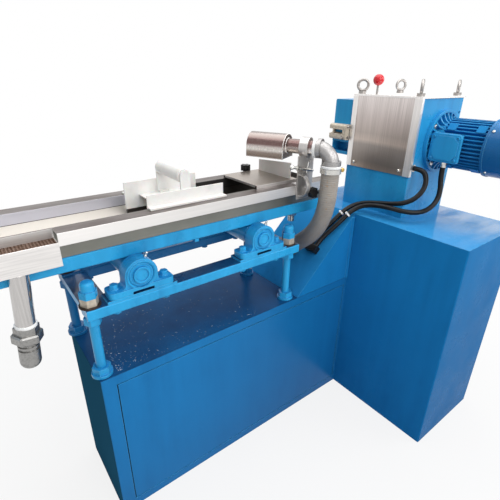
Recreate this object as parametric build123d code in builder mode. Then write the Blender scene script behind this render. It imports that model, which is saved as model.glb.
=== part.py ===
from build123d import *
import os
from math import cos, radians, sin, tan

# Strand pelletizing line: a water trough that rolls on a stand, an air hood over its end,
# and a motor-driven cutter on a cabinet. Millimetres, +Z up, origin on the floor under the
# middle of the base box, +X from the trough's intake to the cutter, -Y towards the operator.

# Base box, sloped housing and cabinet
base_length = 920.0
base_width = 275.0
deck_height = 500.0
slope_run = 257.0
cabinet_length = 344.0
cabinet_overhang = 394.0
cabinet_height = 750.0
sheet_corner = 4.0
panel_thickness = 3.0
panel_gap = 2.5
panel_left_margin = 40.0
panel_right_margin = 14.0
panel_top_margin = 32.0
panel_foot_margin = 30.0
corner_bead_radius = 6.0

# Lower frame on four threaded posts
beam_width = 52.0
beam_height = 29.0
beam_underside = 670.0
beam_corner = 5.0
frame_end_gap = 6.0
cross_bar_width = 60.0
post_diameter = 24.0
post_spacing = 216.0
front_post_inset = 16.0
rear_post_inset = 26.0
post_clearance = 0.4
deck_nut_across = 40.0
deck_nut_height = 17.0
deck_flange_diameter = 52.0
deck_flange_height = 8.0
nut_across = 36.0
nut_height = 19.0
washer_diameter = 50.0
washer_thickness = 3.0
cap_hex_height = 18.0
cap_dome_diameter = 32.0
cap_dome_height = 24.0
cap_dome_rounding = 11.0

# Rollers in pillow blocks
pillow_length = 165.0
pillow_foot_thickness = 16.0
pillow_foot_width = 48.0
pillow_foot_corner = 12.0
pillow_centre_height = 43.0
pillow_dome_radius = 41.0
pillow_dome_width = 38.0
pillow_neck_fillet = 11.0
pillow_rim_radius = 37.0
pillow_rim_step = 2.5
pillow_mouth_bevel = 3.0
pillow_recess_width = 54.0
pillow_recess_height = 7.0
pillow_pad_thickness = 6.0
pillow_pad_margin = 6.0
bearing_diameter = 62.0
bearing_width = 24.0
bearing_ring_diameter = 42.0
bearing_ring_width = 40.0
bearing_groove_outer = 54.0
bearing_groove_inner = 46.0
bearing_groove_depth = 3.0
bearing_clearance = 0.15
front_roller_inset = 138.0
roller_spacing = 377.0
journal_diameter = 30.0
journal_clearance = 0.1
roller_diameter = 66.0
roller_length = 156.0
roller_edge = 3.0
running_gap = 0.3

# Upper rails and the sheet-metal trough
rail_height = 36.0
rail_width = 36.0
rail_outer_spacing = 166.0
rail_corner = 4.0
stop_tab_length = 12.0
stop_tab_drop = 9.0
stop_tab_from_left = 613.0
trough_left_reach = 760.0
trough_right_reach = 330.0
trough_inner_width = 156.0
trough_height = 71.0
trough_sheet = 3.0
flange_width = 42.0
lip_height = 28.0
hem_thickness = 2.0
end_plate_drop = 10.0

# Overflow box on the near wall, its screen and its drain
drain_to_post = 121.0
box_length = 162.0
box_width = 41.0
box_height = 52.0
box_sheet = 2.5
screen_thickness = 2.0
screen_drop = 2.0
drain_pipe_diameter = 39.0
drain_pipe_bore = 33.0
drain_pipe_length = 122.0
drain_lean = 5.0
drain_from_box_end = 81.0
drain_from_wall = 22.0
bushing_across = 44.0
bushing_height = 15.5
union_across = 56.0
union_height = 21.0
union_bevel = 3.0
neck_diameter = 37.0
neck_height = 19.0
neck_band_diameter = 43.0
neck_band_height = 5.0
drain_cap_diameter = 43.0
drain_cap_height = 48.5
drain_cap_rounding = 18.0

# Drain tap under the trough's delivery end
tap_from_right = 75.0
tap_side = 30.0
tap_nipple_diameter = 20.0
tap_nipple_share = 0.2166
tap_body_across = 30.0
tap_body_share = 0.1656
tap_spout_diameter = 22.0
tap_spout_share = 0.1274
tap_stem_diameter = 8.0
tap_stem_length = 26.0
tap_lever_length = 36.0
tap_lever_width = 12.0
tap_lever_thickness = 4.0

# Strand guide with its plastic roller
guide_from_left = 490.0
guide_length = 218.0
guide_sheet = 4.0
guide_rise = 33.0
guide_drop = 40.0
guide_foot = 18.0
bed_inset = 40.0
bed_length = 136.0
bed_sheet = 3.0
bed_drop = 4.0
guide_roller_diameter = 38.0
guide_roller_length = 132.0
guide_roller_height = 65.0
guide_roller_inset = 108.0
guide_roller_edge = 3.0
roller_pin_diameter = 10.0
roller_pin_clearance = 0.1
roller_bracket_width = 28.0
roller_bracket_sheet = 5.0
roller_bracket_gap = 1.0
roller_bracket_foot = 14.0

# Delivery tray, splash plate and clamp knobs
tray_from_right = 272.0
tray_length = 158.0
tray_width = 172.0
tray_rise = 10.0
tray_sheet = 2.0
tray_lip = 7.0
splash_from_tray_end = 22.0
splash_thickness = 4.0
splash_width = 152.0
splash_near_height = 48.0
splash_far_height = 36.0
knob_diameter = 32.0
knob_height = 19.0
knob_scallop_radius = 5.0
knob_lobes = 6
knob_boss_diameter = 14.0
knob_boss_height = 8.0
tray_knob_inset = 100.0
tray_knob_side = 102.0

# Air hood over the tray, its pipe, elbow and bracket
hood_turn = 25.0
hood_width = 80.0
hood_side_height = 30.0
hood_length = 120.0
hood_sheet = 2.5
hood_clear_height = 72.0
hood_from_right = 136.0
hood_near_end_side = 60.0
pipe_diameter = 42.0
pipe_length = 93.0
pipe_above_hood_edge = 36.0
elbow_diameter = 45.0
elbow_radius = 45.0
elbow_bead_diameter = 56.0
elbow_bead_length = 13.0
bracket_before_hood = 14.0
bracket_width = 62.0
bracket_sheet = 4.0
bracket_lip_gap = 0.5
bracket_overlap = 42.0
bracket_hook = 26.0
collar_diameter = 58.0
collar_length = 26.0
collar_offset = 58.0
collar_clearance = 0.3
clamp_block_depth = 10.0
clamp_block_size = 24.0
clamp_from_bracket_end = 22.0
clamp_below_flange = 20.0
strap_width = 13.0
strap_thickness = 4.0
strap_radius = 34.0
strap_inset = 8.0

# Suction hose, its clip and the spigot that it runs to
hose_diameter = 54.0
hose_clip_drop = 8.0
hose_clip_width = 14.0
hose_clip_thickness = 3.0
hose_clip_clearance = 0.6
hose_clip_ear = 16.0
hose_clip_ear_width = 12.0
spigot_run = 97.0
spigot_side = 25.0
spigot_lean_x = -0.267
spigot_lean_y = -0.745
spigot_lean_z = 0.610
spigot_diameter = 58.0
spigot_length = 49.0
spigot_root = 60.0

# Cutter housing on the cabinet
housing_inset = 86.0
housing_length = 260.0
housing_width = 251.0
housing_far_side = 10.0
housing_height = 379.0
housing_edge = 3.0
fixing_hole_diameter = 9.0
fixing_hole_depth = 14.0
fixing_hole_inset = 13.0
fixing_hole_drop = 47.0
cover_thickness = 3.0
cover_foot = 142.0
cover_trim_width = 20.0
cover_trim_thickness = 5.0
cover_trim_return = 6.0
top_plate_thickness = 6.0
top_plate_overhang = 4.0
head_length = 240.0
head_width = 80.0
head_foot = 175.0
head_height = 190.0
head_edge = 6.0
head_pocket_foot = 11.0
head_pocket_height = 33.0
head_pocket_depth = 38.0
head_pocket_wall = 5.0
head_ledge_reach = 5.0
head_ledge_height = 9.0
guide_block_depth = 26.0
guide_block_foot = 54.0
guide_block_height = 53.0
guide_block_margin = 3.0
guide_back_depth = 9.0
guide_top_height = 18.0
guide_cheek_width = 14.0
guide_lip_height = 19.0
chute_rise = 3.0
guide_nose = 8.0
mouth_width = 46.0
mouth_height = 12.0
mouth_foot = 22.0
mouth_from_edge = 20.0
eye_inset = 17.0
eye_collar_diameter = 25.0
eye_collar_height = 9.0
eye_ring_radius = 17.0
eye_bar_radius = 4.6
eye_neck_sink = 3.0
eye_turns = (35.0, 62.0, 118.0, 112.0)
lever_inset_x = 20.0
lever_side = 84.0
lever_stem_diameter = 7.0
lever_stem_length = 30.0
lever_ball_diameter = 35.0
lever_ball_seat = 3.0

# Drive motor on the housing's near face
motor_from_left = 154.0
motor_rise = 244.0
motor_flange_diameter = 200.0
motor_flange_thickness = 12.0
motor_bell_length = 27.0
motor_bell_diameter = 128.0
motor_bell_ribs = 24
motor_rib_thickness = 5.0
motor_rib_diameter = 184.0
motor_rib_sag_share = 0.28
motor_recess_depth = 8.0
motor_core_diameter = 132.0
motor_fin_diameter = 156.0
motor_fin_thickness = 3.6
motor_fins = 40
motor_body_length = 132.0
motor_pad_width = 26.0
motor_pad_length = 26.0
motor_pad_inset = 9.0
motor_pad_step = 2.0
motor_pad_turns = (45.0, 135.0, 240.0, 300.0)
cowl_diameter = 168.0
cowl_length = 112.0
cowl_rounding = 14.0
cowl_lip_diameter = 172.0
cowl_lip_width = 7.0
cowl_groove_depth = 4.0
cowl_groove_width = 5.0
cowl_groove_pitch = 13.0
cowl_grooves = 5
cowl_hub_diameter = 26.0
terminal_reach = 15.0
terminal_width = 91.0
terminal_height = 82.0
terminal_drop = 6.0
terminal_from_flange = 9.0
terminal_corner = 12.0
lid_thickness = 6.0
lid_step = 3.0
lid_edge = 2.0
lid_panel_step = 2.5
lid_panel_margin = 5.0
lid_panel_corner = 17.0

# Cables, their glands and the entry on the slope
cable_diameter = 16.0
gland_across = 20.0
gland_hex_height = 9.0
gland_nose_diameter = 18.0
gland_nose_height = 11.0
gland_from_lid = 18.5
grommet_diameter = 23.0
grommet_depth = 3.0
grommet_inset = 20.0
grommet_rise = 169.0
entry_run = 137.0
entry_side = 74.0
entry_length = 26.0
entry_width = 50.0
entry_height = 24.0
entry_edge = 4.0
entry_cable_rise = 12.0
entry_cable_spacing = 24.0
cable_lead = 30.0
hose_lead = 76.0
spigot_lead_share = 0.293

cut_overrun = 1.0
hex_sides = 6
standing = (Align.CENTER, Align.CENTER, Align.MIN)

# Places worked out from the sizes above
base_left = -base_length / 2
base_right = base_length / 2
base_side = base_width / 2
slope_foot = base_right - slope_run
slope_rise = cabinet_height - deck_height
slope_up = Vector(slope_run, 0, slope_rise).normalized()
slope_normal = Vector(-slope_rise, 0, slope_run).normalized()
cabinet_near = -base_side - cabinet_overhang
frame_left = base_left
frame_right = slope_foot - frame_end_gap
beam_top = beam_underside + beam_height
post_side = post_spacing / 2
post_xs = (frame_left + front_post_inset, frame_right - rear_post_inset)
post_places = [(x, side * post_side) for x in post_xs for side in (-1, 1)]
nut_seat = beam_top + washer_thickness
deck_nut_seat = deck_height + deck_flange_height
post_top = nut_seat + nut_height
pad_top = beam_top + pillow_pad_thickness
axle_height = pad_top + pillow_centre_height
front_roller_x = frame_left + front_roller_inset
rear_roller_x = front_roller_x + roller_spacing
rail_underside = axle_height + roller_diameter / 2 + running_gap
rail_top = rail_underside + rail_height
rail_outer = rail_outer_spacing / 2
trough_left = -trough_left_reach
trough_right = trough_right_reach
trough_length = trough_right - trough_left
trough_inner = trough_inner_width / 2
trough_outer = trough_inner + trough_sheet
flange_top = rail_top + trough_height
flange_outer = trough_inner + flange_width
floor_top = rail_top + trough_sheet
hem_inner = trough_inner - hem_thickness
housing_left = base_right + housing_inset
housing_right = housing_left + housing_length
housing_far = -housing_far_side
housing_near = housing_far - housing_width
housing_top = cabinet_height + housing_height
motor_x = housing_left + motor_from_left
motor_height = cabinet_height + motor_rise
grommet_x = housing_left + grommet_inset
grommet_height = cabinet_height + grommet_rise
spigot_x = slope_foot + spigot_run
entry_x = slope_foot + entry_run


def save(piece, name):
    """Labels a finished piece and writes it to its own file."""
    piece.part.label = name
    export_step(piece.part, f"parts/{name}.step")


def block(low, high, mode=Mode.ADD):
    """A box between two corners, in the piece that is being built."""
    sizes = [end - start for start, end in zip(low, high)]
    middle = tuple((start + end) / 2 for start, end in zip(low, high))
    with Locations(middle):
        Box(*sizes, mode=mode)


def rod(start, end, radius, mode=Mode.ADD):
    """A round bar between two points, in the piece that is being built."""
    run = Vector(*end) - Vector(*start)
    with Locations(Plane(origin=start, z_dir=run).location):
        Cylinder(radius, run.length, align=standing, mode=mode)


def hexagon(start, direction, across, height):
    """A six-sided bar from a point along a direction."""
    with BuildSketch(Plane(origin=start, z_dir=direction)) as outline:
        RegularPolygon(across / 2, hex_sides, major_radius=False)
    extrude(outline.sketch, amount=height)


def beam(low, high, corner):
    """A bar along X with rounded long edges."""
    block(low, high)
    long_edges = [
        edge
        for edge in edges().filter_by(Axis.X)
        if edge.length > (high[0] - low[0]) / 2
    ]
    fillet(long_edges, corner)


def slope_height(x):
    """Height of the sloped plate at a place along the base."""
    return deck_height + (x - slope_foot) * slope_rise / slope_run


def cord_tube(points, diameter, name):
    """A flexible cord: straight runs joined by arcs as large as the runs allow."""
    corners = [Vector(*point) for point in points]
    runs = [end - start for start, end in zip(corners, corners[1:])]
    radii = []
    for before, after in zip(runs, runs[1:]):
        half_turn = radians(before.get_angle(after)) / 2
        shorter = min(before.length, after.length)
        radii.append(arc_share * shorter / tan(half_turn))
    print(name, "radii", [round(radius) for radius in radii])
    with BuildLine() as route:
        FilletPolyline(*corners, radius=radii)
    with BuildPart() as tube:
        with BuildSketch(Plane(origin=route.line @ 0, z_dir=route.line % 0)) as section:
            Circle(diameter / 2)
        sweep(section.sketch, path=route.line)
    run_length = sum(edge.length for edge in route.edges())
    print(name, "length", round(run_length), "volume", round(tube.part.volume))
    save(tube, name)


arc_share = 0.45
os.makedirs("parts", exist_ok=True)

# Base box with a shallow pocket for its screwed front panel
panel_low = (base_left + panel_left_margin, -base_side, panel_foot_margin)
panel_high = (
    base_right - panel_right_margin,
    -base_side + panel_thickness,
    deck_height - panel_top_margin,
)
with BuildPart() as base_box:
    block((base_left, -base_side, 0), (base_right, base_side, deck_height))
    fillet(edges().filter_by(Axis.Z).group_by(Axis.X)[0], sheet_corner)
    block(
        (panel_low[0] - panel_gap, panel_low[1] - cut_overrun, panel_low[2] - panel_gap),
        (panel_high[0] + panel_gap, panel_high[1], panel_high[2] + panel_gap),
        Mode.SUBTRACT,
    )
save(base_box, "base_box")

with BuildPart() as base_front_panel:
    block(panel_low, panel_high)
save(base_front_panel, "base_front_panel")

# Sloped housing between the deck and the cabinet, with the bead in its inner corner
bead_x = base_right - corner_bead_radius
with BuildPart() as slope_housing:
    with BuildSketch(Plane.XZ) as slope_side:
        with BuildLine():
            Polyline(
                (slope_foot, deck_height),
                (base_right, deck_height),
                (base_right, cabinet_height),
                close=True,
            )
        make_face()
    extrude(amount=base_side, both=True)
    rod(
        (bead_x, -base_side, deck_height),
        (bead_x, -base_side, slope_height(bead_x) - corner_bead_radius),
        corner_bead_radius,
    )
save(slope_housing, "slope_housing")

with BuildPart() as cutter_cabinet:
    block(
        (base_right, cabinet_near, 0),
        (base_right + cabinet_length, base_side, cabinet_height),
    )
    fillet(edges().filter_by(Axis.Z).group_by(Axis.Y)[0], sheet_corner)
save(cutter_cabinet, "cutter_cabinet")

# Lower frame, welded: two beams bored for the posts, a cross bar at each end, and bearing pads
beam_half = beam_width / 2
cross_bar_side = post_side - beam_half
pad_half_length = pillow_length / 2 + pillow_pad_margin
with BuildPart() as lower_frame:
    for side in (-1, 1):
        middle = side * post_side
        beam(
            (frame_left, middle - beam_half, beam_underside),
            (frame_right, middle + beam_half, beam_top),
            beam_corner,
        )
        for pad_x in (front_roller_x, rear_roller_x):
            block(
                (pad_x - pad_half_length, middle - pillow_foot_width / 2, beam_top - beam_corner),
                (pad_x + pad_half_length, middle + pillow_foot_width / 2, pad_top),
            )
        for post_x in post_xs:
            rod(
                (post_x, middle, beam_underside - cut_overrun),
                (post_x, middle, beam_top + cut_overrun),
                post_diameter / 2 + post_clearance,
                Mode.SUBTRACT,
            )
    for start in (frame_left, frame_right - cross_bar_width):
        block(
            (start, -cross_bar_side - beam_corner, beam_underside + beam_corner),
            (start + cross_bar_width, cross_bar_side + beam_corner, beam_top - beam_corner),
        )
save(lower_frame, "lower_frame")

# Threaded posts with nuts on the deck, under the beams and on top, and domed cap nuts
with BuildPart() as support_posts:
    for place in post_places:
        rod((*place, deck_height), (*place, post_top), post_diameter / 2)
save(support_posts, "support_posts")


def post_nut(place, height, across, thickness):
    """A hexagon nut around a post."""
    hexagon((*place, height), (0, 0, 1), across, thickness)
    rod(
        (*place, height - cut_overrun),
        (*place, height + thickness + cut_overrun),
        post_diameter / 2 + post_clearance,
        Mode.SUBTRACT,
    )


with BuildPart() as top_nuts:
    for place in post_places:
        rod((*place, beam_top), (*place, nut_seat), washer_diameter / 2)
        post_nut(place, nut_seat, nut_across, nut_height)
        rod(
            (*place, beam_top - cut_overrun),
            (*place, nut_seat + cut_overrun),
            post_diameter / 2 + post_clearance,
            Mode.SUBTRACT,
        )
save(top_nuts, "top_nuts")

with BuildPart() as post_nuts:
    for place in post_places:
        hexagon((*place, post_top), (0, 0, 1), nut_across, cap_hex_height)
        with Locations((*place, post_top + cap_hex_height)):
            Cylinder(cap_dome_diameter / 2, cap_dome_height, align=standing)
    fillet(faces().sort_by(Axis.Z)[-len(post_places):].edges(), cap_dome_rounding)
    for place in post_places:
        rod((*place, deck_height), (*place, deck_nut_seat), deck_flange_diameter / 2)
        post_nut(place, deck_nut_seat, deck_nut_across, deck_nut_height)
        rod(
            (*place, deck_height - cut_overrun),
            (*place, deck_nut_seat + cut_overrun),
            post_diameter / 2 + post_clearance,
            Mode.SUBTRACT,
        )
        post_nut(place, beam_underside - nut_height, nut_across, nut_height)
save(post_nuts, "post_nuts")

# Pillow blocks: foot, domed body and raised rim, bored for the bearing
pillow_places = [
    (front_roller_x, -1, "pillow_block_front_near"),
    (front_roller_x, 1, "pillow_block_front_far"),
    (rear_roller_x, -1, "pillow_block_rear_near"),
    (rear_roller_x, 1, "pillow_block_rear_far"),
]
for pillow_x, side, name in pillow_places:
    middle = side * post_side
    face = Plane(origin=(pillow_x, middle, pad_top), x_dir=(1, 0, 0), z_dir=(0, -1, 0))
    with BuildPart() as pillow_block:
        with BuildSketch(face) as dome:
            with Locations((0, pillow_centre_height)):
                Circle(pillow_dome_radius)
            with Locations((0, pillow_centre_height / 2)):
                Rectangle(2 * pillow_dome_radius, pillow_centre_height)
        extrude(amount=pillow_dome_width / 2, both=True)
        block(
            (pillow_x - pillow_length / 2, middle - pillow_foot_width / 2, pad_top),
            (
                pillow_x + pillow_length / 2,
                middle + pillow_foot_width / 2,
                pad_top + pillow_foot_thickness,
            ),
        )
        foot_ends = edges().filter_by(Axis.Z).filter_by_position(
            Axis.Z,
            pad_top,
            pad_top + pillow_foot_thickness,
        )
        outer_ends = [e for e in foot_ends if abs(e.center().X - pillow_x) > pillow_dome_radius + cut_overrun]
        fillet(outer_ends, pillow_foot_corner)
        neck = [
            e
            for e in edges().filter_by(Axis.Y)
            if abs(e.center().Z - pad_top - pillow_foot_thickness) < cut_overrun
            and abs(abs(e.center().X - pillow_x) - pillow_dome_radius) < cut_overrun
        ]
        fillet(neck, pillow_neck_fillet)
        with BuildSketch(face) as rim:
            with Locations((0, pillow_centre_height)):
                Circle(pillow_rim_radius)
        extrude(amount=pillow_dome_width / 2 + pillow_rim_step, both=True)
        rod(
            (pillow_x, middle - pillow_foot_width, axle_height),
            (pillow_x, middle + pillow_foot_width, axle_height),
            bearing_diameter / 2,
            Mode.SUBTRACT,
        )
        for end in (-1, 1):
            rim_face = middle + end * (pillow_dome_width / 2 + pillow_rim_step)
            mouth = Plane(origin=(pillow_x, rim_face, axle_height), z_dir=(0, -end, 0))
            with Locations(mouth.location):
                Cone(
                    bearing_diameter / 2 + pillow_mouth_bevel,
                    bearing_diameter / 2,
                    pillow_mouth_bevel,
                    align=standing,
                    mode=Mode.SUBTRACT,
                )
        block(
            (pillow_x - pillow_recess_width / 2, middle - pillow_foot_width, pad_top - cut_overrun),
            (
                pillow_x + pillow_recess_width / 2,
                middle + pillow_foot_width,
                pad_top + pillow_recess_height,
            ),
            Mode.SUBTRACT,
        )
    save(pillow_block, name)

with BuildPart() as bearing_inserts:
    for pillow_x, side, name in pillow_places:
        middle = side * post_side
        for width, diameter in (
            (bearing_width, bearing_diameter - 2 * bearing_clearance),
            (bearing_ring_width, bearing_ring_diameter),
        ):
            rod(
                (pillow_x, middle - width / 2, axle_height),
                (pillow_x, middle + width / 2, axle_height),
                diameter / 2,
            )
        for end in (-1, 1):
            seal_face = Plane(
                origin=(pillow_x, middle + end * bearing_width / 2, axle_height),
                z_dir=(0, end, 0),
            )
            with BuildSketch(seal_face) as seal_groove:
                Circle(bearing_groove_outer / 2)
                Circle(bearing_groove_inner / 2, mode=Mode.SUBTRACT)
            extrude(amount=-bearing_groove_depth, mode=Mode.SUBTRACT)
        rod(
            (pillow_x, middle - pillow_foot_width, axle_height),
            (pillow_x, middle + pillow_foot_width, axle_height),
            journal_diameter / 2 + journal_clearance,
            Mode.SUBTRACT,
        )
save(bearing_inserts, "bearing_inserts")

# Rollers that carry the rails, with journals in the bearings
journal_reach = post_side + bearing_ring_width / 2
for roller_x, name in ((front_roller_x, "front_roller"), (rear_roller_x, "rear_roller")):
    with BuildPart() as roller:
        rod(
            (roller_x, -roller_length / 2, axle_height),
            (roller_x, roller_length / 2, axle_height),
            roller_diameter / 2,
        )
        chamfer(edges().filter_by(GeomType.CIRCLE), roller_edge)
        rod(
            (roller_x, -journal_reach, axle_height),
            (roller_x, journal_reach, axle_height),
            journal_diameter / 2,
        )
    save(roller, name)

# Upper rails that roll on them
stop_x = trough_left + stop_tab_from_left
with BuildPart() as upper_rails:
    for side in (-1, 1):
        outer = side * rail_outer
        inner = side * (rail_outer - rail_width)
        beam(
            (trough_left, min(outer, inner), rail_underside),
            (trough_right, max(outer, inner), rail_top),
            rail_corner,
        )
        block(
            (stop_x, min(outer, inner) + rail_corner, rail_underside - stop_tab_drop),
            (
                stop_x + stop_tab_length,
                max(outer, inner) - rail_corner,
                rail_underside + rail_corner,
            ),
        )
save(upper_rails, "upper_rails")

# Trough: a floor with its end plates, and two folded walls with a flange, an outer lip and a hem
with BuildPart() as trough_floor:
    block((trough_left, -trough_inner, rail_top), (trough_right, trough_inner, floor_top))
    for start in (trough_left, trough_right - trough_sheet):
        block(
            (start, -hem_inner, rail_top),
            (start + trough_sheet, hem_inner, flange_top - end_plate_drop),
        )
save(trough_floor, "trough_floor")


def wall_outline(side):
    """Section of one long wall with its flange, lip and hem."""
    section = [
        (trough_inner, rail_top),
        (trough_outer, rail_top),
        (trough_outer, flange_top - trough_sheet),
        (flange_outer - trough_sheet, flange_top - trough_sheet),
        (flange_outer - trough_sheet, flange_top - lip_height),
        (flange_outer, flange_top - lip_height),
        (flange_outer, flange_top),
        (hem_inner, flange_top),
        (hem_inner, flange_top - lip_height),
        (trough_inner, flange_top - lip_height),
    ]
    return [(side * across, height) for across, height in section]


drain_x = post_xs[0] - drain_to_post
box_right = drain_x + drain_from_box_end
box_left = box_right - box_length
for side, name in ((-1, "trough_wall_near"), (1, "trough_wall_far")):
    with BuildPart() as trough_wall:
        with BuildSketch(Plane.YZ.offset(trough_left)) as wall_section:
            with BuildLine():
                Polyline(*wall_outline(side), close=True)
            make_face()
        extrude(amount=trough_length)
        if side < 0:
            block(
                (box_left, -flange_outer - cut_overrun, rail_top + trough_sheet),
                (box_right, -trough_outer, flange_top + cut_overrun),
                Mode.SUBTRACT,
            )
    save(trough_wall, name)

# Overflow box on the near wall, with a screen over it
box_near = -trough_outer - box_width
box_top = rail_top + box_height
drain_y = -trough_outer - drain_from_wall
drain_run = Vector(-sin(radians(drain_lean)), 0, -cos(radians(drain_lean)))
drain_top = Vector(drain_x, drain_y, rail_top)
with BuildPart() as overflow_box:
    block((box_left, box_near, rail_top), (box_right, -trough_outer, box_top))
    block(
        (box_left + box_sheet, box_near + box_sheet, rail_top + box_sheet),
        (box_right - box_sheet, -trough_outer + cut_overrun, box_top + cut_overrun),
        Mode.SUBTRACT,
    )
    rod(
        drain_top - drain_run * box_sheet * 2,
        drain_top + drain_run * box_sheet,
        drain_pipe_bore / 2,
        Mode.SUBTRACT,
    )
save(overflow_box, "overflow_box")

screen_top = box_top - screen_drop
with BuildPart() as overflow_screen:
    block(
        (box_left + box_sheet, box_near + box_sheet, screen_top - screen_thickness),
        (box_right - box_sheet, -trough_outer, screen_top),
    )
save(overflow_screen, "overflow_screen")

union_start = drain_top + drain_run * drain_pipe_length
with BuildPart() as drain_pipe:
    rod(drain_top - drain_run * drain_pipe_diameter, union_start, drain_pipe_diameter / 2)
    rod(
        drain_top - drain_run * drain_pipe_diameter * 2,
        union_start + drain_run * cut_overrun,
        drain_pipe_bore / 2,
        Mode.SUBTRACT,
    )
    split(bisect_by=Plane.XY.offset(rail_top), keep=Keep.BOTTOM)
save(drain_pipe, "drain_pipe")

nut_start = union_start + drain_run * bushing_height
neck_start = nut_start + drain_run * union_height
cap_start = neck_start + drain_run * neck_height
band_start = cap_start - drain_run * neck_band_height * 2
with BuildPart() as drain_fitting:
    hexagon(nut_start, drain_run, union_across, union_height)
    chamfer(edges(), union_bevel)
    hexagon(union_start, drain_run, bushing_across, bushing_height)
    rod(neck_start, cap_start, neck_diameter / 2)
    rod(band_start, band_start + drain_run * neck_band_height, neck_band_diameter / 2)
    rod(cap_start, cap_start + drain_run * drain_cap_height, drain_cap_diameter / 2)
    fillet(faces().sort_by(Axis.Z)[0].edges(), drain_cap_rounding)
save(drain_fitting, "drain_fitting")

# Spigot on the sloped housing for the suction hose, and the room between it and the rails
spigot_way = Vector(spigot_lean_x, spigot_lean_y, spigot_lean_z).normalized()
spigot_foot = Vector(spigot_x, spigot_side, slope_height(spigot_x))
spigot_mouth = spigot_foot + spigot_way * spigot_length
hose_room = rail_underside - spigot_mouth.Z
slope_plane = Plane(
    origin=(slope_foot, 0, deck_height),
    x_dir=slope_up,
    z_dir=slope_normal,
)
with BuildPart() as hose_spigot:
    rod(spigot_foot - spigot_way * spigot_root, spigot_mouth, spigot_diameter / 2)
    split(bisect_by=slope_plane, keep=Keep.TOP)
save(hose_spigot, "hose_spigot")

# Tap under the delivery end
tap_x = trough_right - tap_from_right
tap_nipple_length = tap_nipple_share * hose_room
tap_body_height = tap_body_share * hose_room
tap_spout_length = tap_spout_share * hose_room
body_top = rail_top - tap_nipple_length
spout_top = body_top - tap_body_height
stem_height = body_top - tap_body_height / 2
with BuildPart() as drain_tap:
    rod((tap_x, -tap_side, body_top), (tap_x, -tap_side, rail_top), tap_nipple_diameter / 2)
    hexagon((tap_x, -tap_side, body_top), (0, 0, -1), tap_body_across, tap_body_height)
    rod(
        (tap_x, -tap_side, spout_top - tap_spout_length),
        (tap_x, -tap_side, spout_top),
        tap_spout_diameter / 2,
    )
    rod(
        (tap_x, -tap_side, stem_height),
        (tap_x + tap_stem_length, -tap_side, stem_height),
        tap_stem_diameter / 2,
    )
    block(
        (
            tap_x + tap_stem_length - tap_lever_thickness,
            -tap_side - tap_lever_width / 2,
            stem_height - tap_lever_width / 2,
        ),
        (
            tap_x + tap_stem_length,
            -tap_side + tap_lever_width / 2,
            stem_height - tap_lever_width / 2 + tap_lever_length,
        ),
    )
save(drain_tap, "drain_tap")

# Strand guide: an angle on each flange, a bed between them and a roller on two brackets
guide_left = trough_left + guide_from_left
guide_right = guide_left + guide_length
bed_left = guide_left + bed_inset
bed_top = flange_top - bed_drop
with BuildPart() as guide_insert:
    for side in (-1, 1):
        leg = (side * (hem_inner - guide_sheet), side * hem_inner)
        foot = (side * (hem_inner - guide_sheet), side * (hem_inner + guide_foot))
        block(
            (guide_left, min(leg), flange_top - guide_drop),
            (guide_right, max(leg), flange_top + guide_rise),
        )
        block(
            (guide_left, min(foot), flange_top),
            (guide_right, max(foot), flange_top + guide_sheet),
        )
    block(
        (bed_left, -hem_inner, bed_top - bed_sheet),
        (bed_left + bed_length, hem_inner, bed_top),
    )
save(guide_insert, "guide_insert")

spin_x = guide_left + guide_roller_inset
spin_height = flange_top + guide_roller_height
bracket_inside = guide_roller_length / 2 + roller_bracket_gap
bracket_outside = bracket_inside + roller_bracket_sheet
with BuildPart() as roller_brackets:
    for side in (-1, 1):
        upright = Plane(
            origin=(spin_x, side * bracket_inside, bed_top),
            x_dir=(1, 0, 0),
            z_dir=(0, -1, 0),
        )
        with BuildSketch(upright) as bracket_face:
            with Locations((0, spin_height - bed_top)):
                Circle(roller_bracket_width / 2)
                Circle(roller_pin_diameter / 2 + roller_pin_clearance, mode=Mode.SUBTRACT)
            with Locations((0, (spin_height - bed_top) / 2)):
                Rectangle(roller_bracket_width, spin_height - bed_top)
            with Locations((0, spin_height - bed_top)):
                Circle(roller_pin_diameter / 2 + roller_pin_clearance, mode=Mode.SUBTRACT)
        extrude(amount=-side * roller_bracket_sheet)
        toe = (side * (bracket_inside - roller_bracket_foot), side * bracket_inside)
        block(
            (spin_x - roller_bracket_width / 2, min(toe), bed_top),
            (spin_x + roller_bracket_width / 2, max(toe), bed_top + roller_bracket_sheet),
        )
save(roller_brackets, "roller_brackets")

with BuildPart() as guide_roller:
    rod(
        (spin_x, -guide_roller_length / 2, spin_height),
        (spin_x, guide_roller_length / 2, spin_height),
        guide_roller_diameter / 2,
    )
    chamfer(edges().filter_by(GeomType.CIRCLE), guide_roller_edge)
    rod(
        (spin_x, -bracket_outside, spin_height),
        (spin_x, bracket_outside, spin_height),
        roller_pin_diameter / 2,
    )
save(guide_roller, "guide_roller")

# Delivery tray with folded side lips, and the splash plate that stands on it
tray_left = trough_right - tray_from_right
tray_right = tray_left + tray_length
tray_top = flange_top + tray_rise
tray_side = tray_width / 2
with BuildPart() as tray_plate:
    block((tray_left, -tray_side, tray_top - tray_sheet), (tray_right, tray_side, tray_top))
    for side in (-1, 1):
        lip = (side * (tray_side - tray_sheet), side * tray_side)
        block((tray_left, min(lip), flange_top), (tray_right, max(lip), tray_top))
    block(
        (tray_left, -hem_inner, tray_top - tray_lip),
        (tray_left + tray_sheet, hem_inner, tray_top),
    )
save(tray_plate, "tray_plate")

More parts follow.
